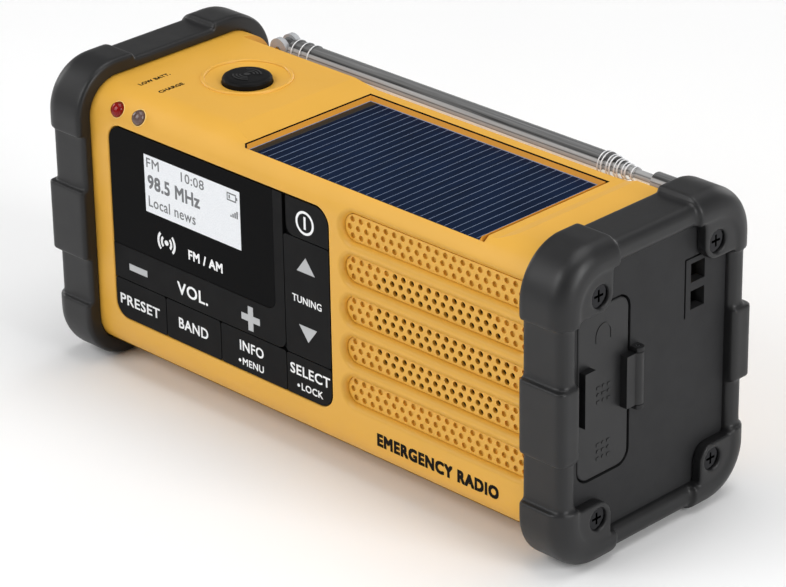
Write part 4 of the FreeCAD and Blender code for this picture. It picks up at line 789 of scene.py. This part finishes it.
def cover_marks():
    """Small raised symbols moulded on the port cover: headphones and two groups of dots."""
    face, across_cover, depth = 96.1 * MM, -17.6 * MM, 0.3 * MM
    headphones = [arc_band(2.6, 3.1, 10, 170),
                  rectangle_loop(-3.1, -1.6, -2.5, 0.5), rectangle_loop(2.5, -1.6, 3.1, 0.5)]
    print_shape("cover_phones_mark", headphones, RIGHT, (face, across_cover, 65.2 * MM),
                (6.2 * MM, 5.0 * MM), "rubber_black", "socket_cover", depth)
    for name, z in (("cover_data_mark", 47.7), ("cover_power_mark", 31.3)):
        marks = []
        for row in range(3):
            for column in range(3):
                across, up = column * 2.0, row * 2.0
                marks.append(circle_loop(0.55, 12, (across, up)) if (row + column) % 2
                             else rectangle_loop(across - 0.6, up - 0.4, across + 0.6, up + 0.4))
        print_shape(name, marks, RIGHT, (face, across_cover, z * MM), (5.2 * MM, 5.2 * MM),
                    "rubber_black", "socket_cover", depth)


key_legends()
display_prints()
case_prints()
solar_frame()
solar_details()
dish_rim()
lamp_domes()
antenna_bands()
siren_mark()
cover_marks()
for side in ("left", "right"):
    soften("bumper_" + side, "rubber_bumper_" + side, "rubber_black", "case")


# ---------------------------------------------------------------- studio

def add_camera():
    """The camera stands at the front right, above, as on a product table."""
    azimuth = math.radians(45.26)
    elevation = math.radians(25.594)
    roll = math.radians(-0.98)
    camera = bpy.data.objects.new("camera", bpy.data.cameras.new("camera"))
    camera.location = (0.6453, -0.6371, 0.4726)
    forward = Vector((-math.sin(azimuth) * math.cos(elevation),
                      math.cos(azimuth) * math.cos(elevation), -math.sin(elevation)))
    facing = forward.to_track_quat("-Z", "Y").to_matrix()
    camera.rotation_euler = (facing @ Matrix.Rotation(roll, 3, "Z")).to_euler()
    camera.data.sensor_width = 36
    camera.data.lens = 165.9985
    camera.data.clip_start = 0.01
    bpy.context.scene.collection.objects.link(camera)
    bpy.context.scene.camera = camera


def add_light(name, place, target, size, power):
    """A soft box of that width and height that points at the target."""
    lamp = bpy.data.lights.new(name, "AREA")
    lamp.shape = "RECTANGLE"
    lamp.size = size[0]
    lamp.size_y = size[1]
    lamp.energy = power
    light = bpy.data.objects.new(name, lamp)
    light.location = place
    light.rotation_euler = (Vector(target) - Vector(place)).to_track_quat("-Z", "Y").to_euler()
    bpy.context.scene.collection.objects.link(light)


def add_studio():
    """A pale floor, a surround of light and dark bands, and five soft boxes."""
    bpy.context.scene.view_settings.view_transform = "Standard"
    mesh = bpy.data.meshes.new("floor")
    build = bmesh.new()
    bmesh.ops.create_grid(build, x_segments=1, y_segments=1, size=4)
    build.to_mesh(mesh)
    floor = bpy.data.objects.new("floor", mesh)
    bpy.context.scene.collection.objects.link(floor)
    mesh.materials.append(moulded("floor_white", (0.95, 0.95, 0.95), 0.9, grain=200,
                                  strength=0.02, patch=3, variation=0.01))
    floor.location.z = cad_box[0][2] - 0.2 * MM
    world = bpy.data.worlds.new("surround")
    bpy.context.scene.world = world
    world.use_nodes = True
    tree = world.node_tree
    direction = tree.nodes.new("ShaderNodeTexCoord").outputs["Generated"]
    height = tree.nodes.new("ShaderNodeSeparateXYZ")
    tree.links.new(direction, height.inputs["Vector"])
    bands = tree.nodes.new("ShaderNodeValToRGB")
    tree.links.new(height.outputs["Z"], bands.inputs["Fac"])
    bands.color_ramp.elements[0].color = (0.9, 0.9, 0.9, 1)
    for place, level in ((0.30, 0.75), (0.42, 0.12), (0.55, 0.10), (0.68, 0.8),
                         (0.82, 0.25), (0.95, 0.5)):
        stop = bands.color_ramp.elements.new(place)
        stop.color = (level, level, level, 1)
    tree.links.new(bands.outputs["Color"], tree.nodes["Background"].inputs["Color"])
    tree.nodes["Background"].inputs["Strength"].default_value = 0.62
    centre = (0, 0, 0.05)
    add_light("key_light", (-0.4, -1.1, 0.9), centre, (0.8, 0.8), 8.4)
    add_light("top_light", (0.1, 0.2, 1.2), centre, (1.0, 0.8), 5.9)
    add_light("side_light", (1.3, 0.1, 0.6), centre, (0.5, 0.8), 9.0)
    add_light("left_light", (-1.3, -0.2, 0.5), centre, (0.4, 0.6), 3.5)
    add_light("back_light", (-0.2, 1.5, 0.5), centre, (0.8, 0.5), 3.5)


add_camera()
add_studio()
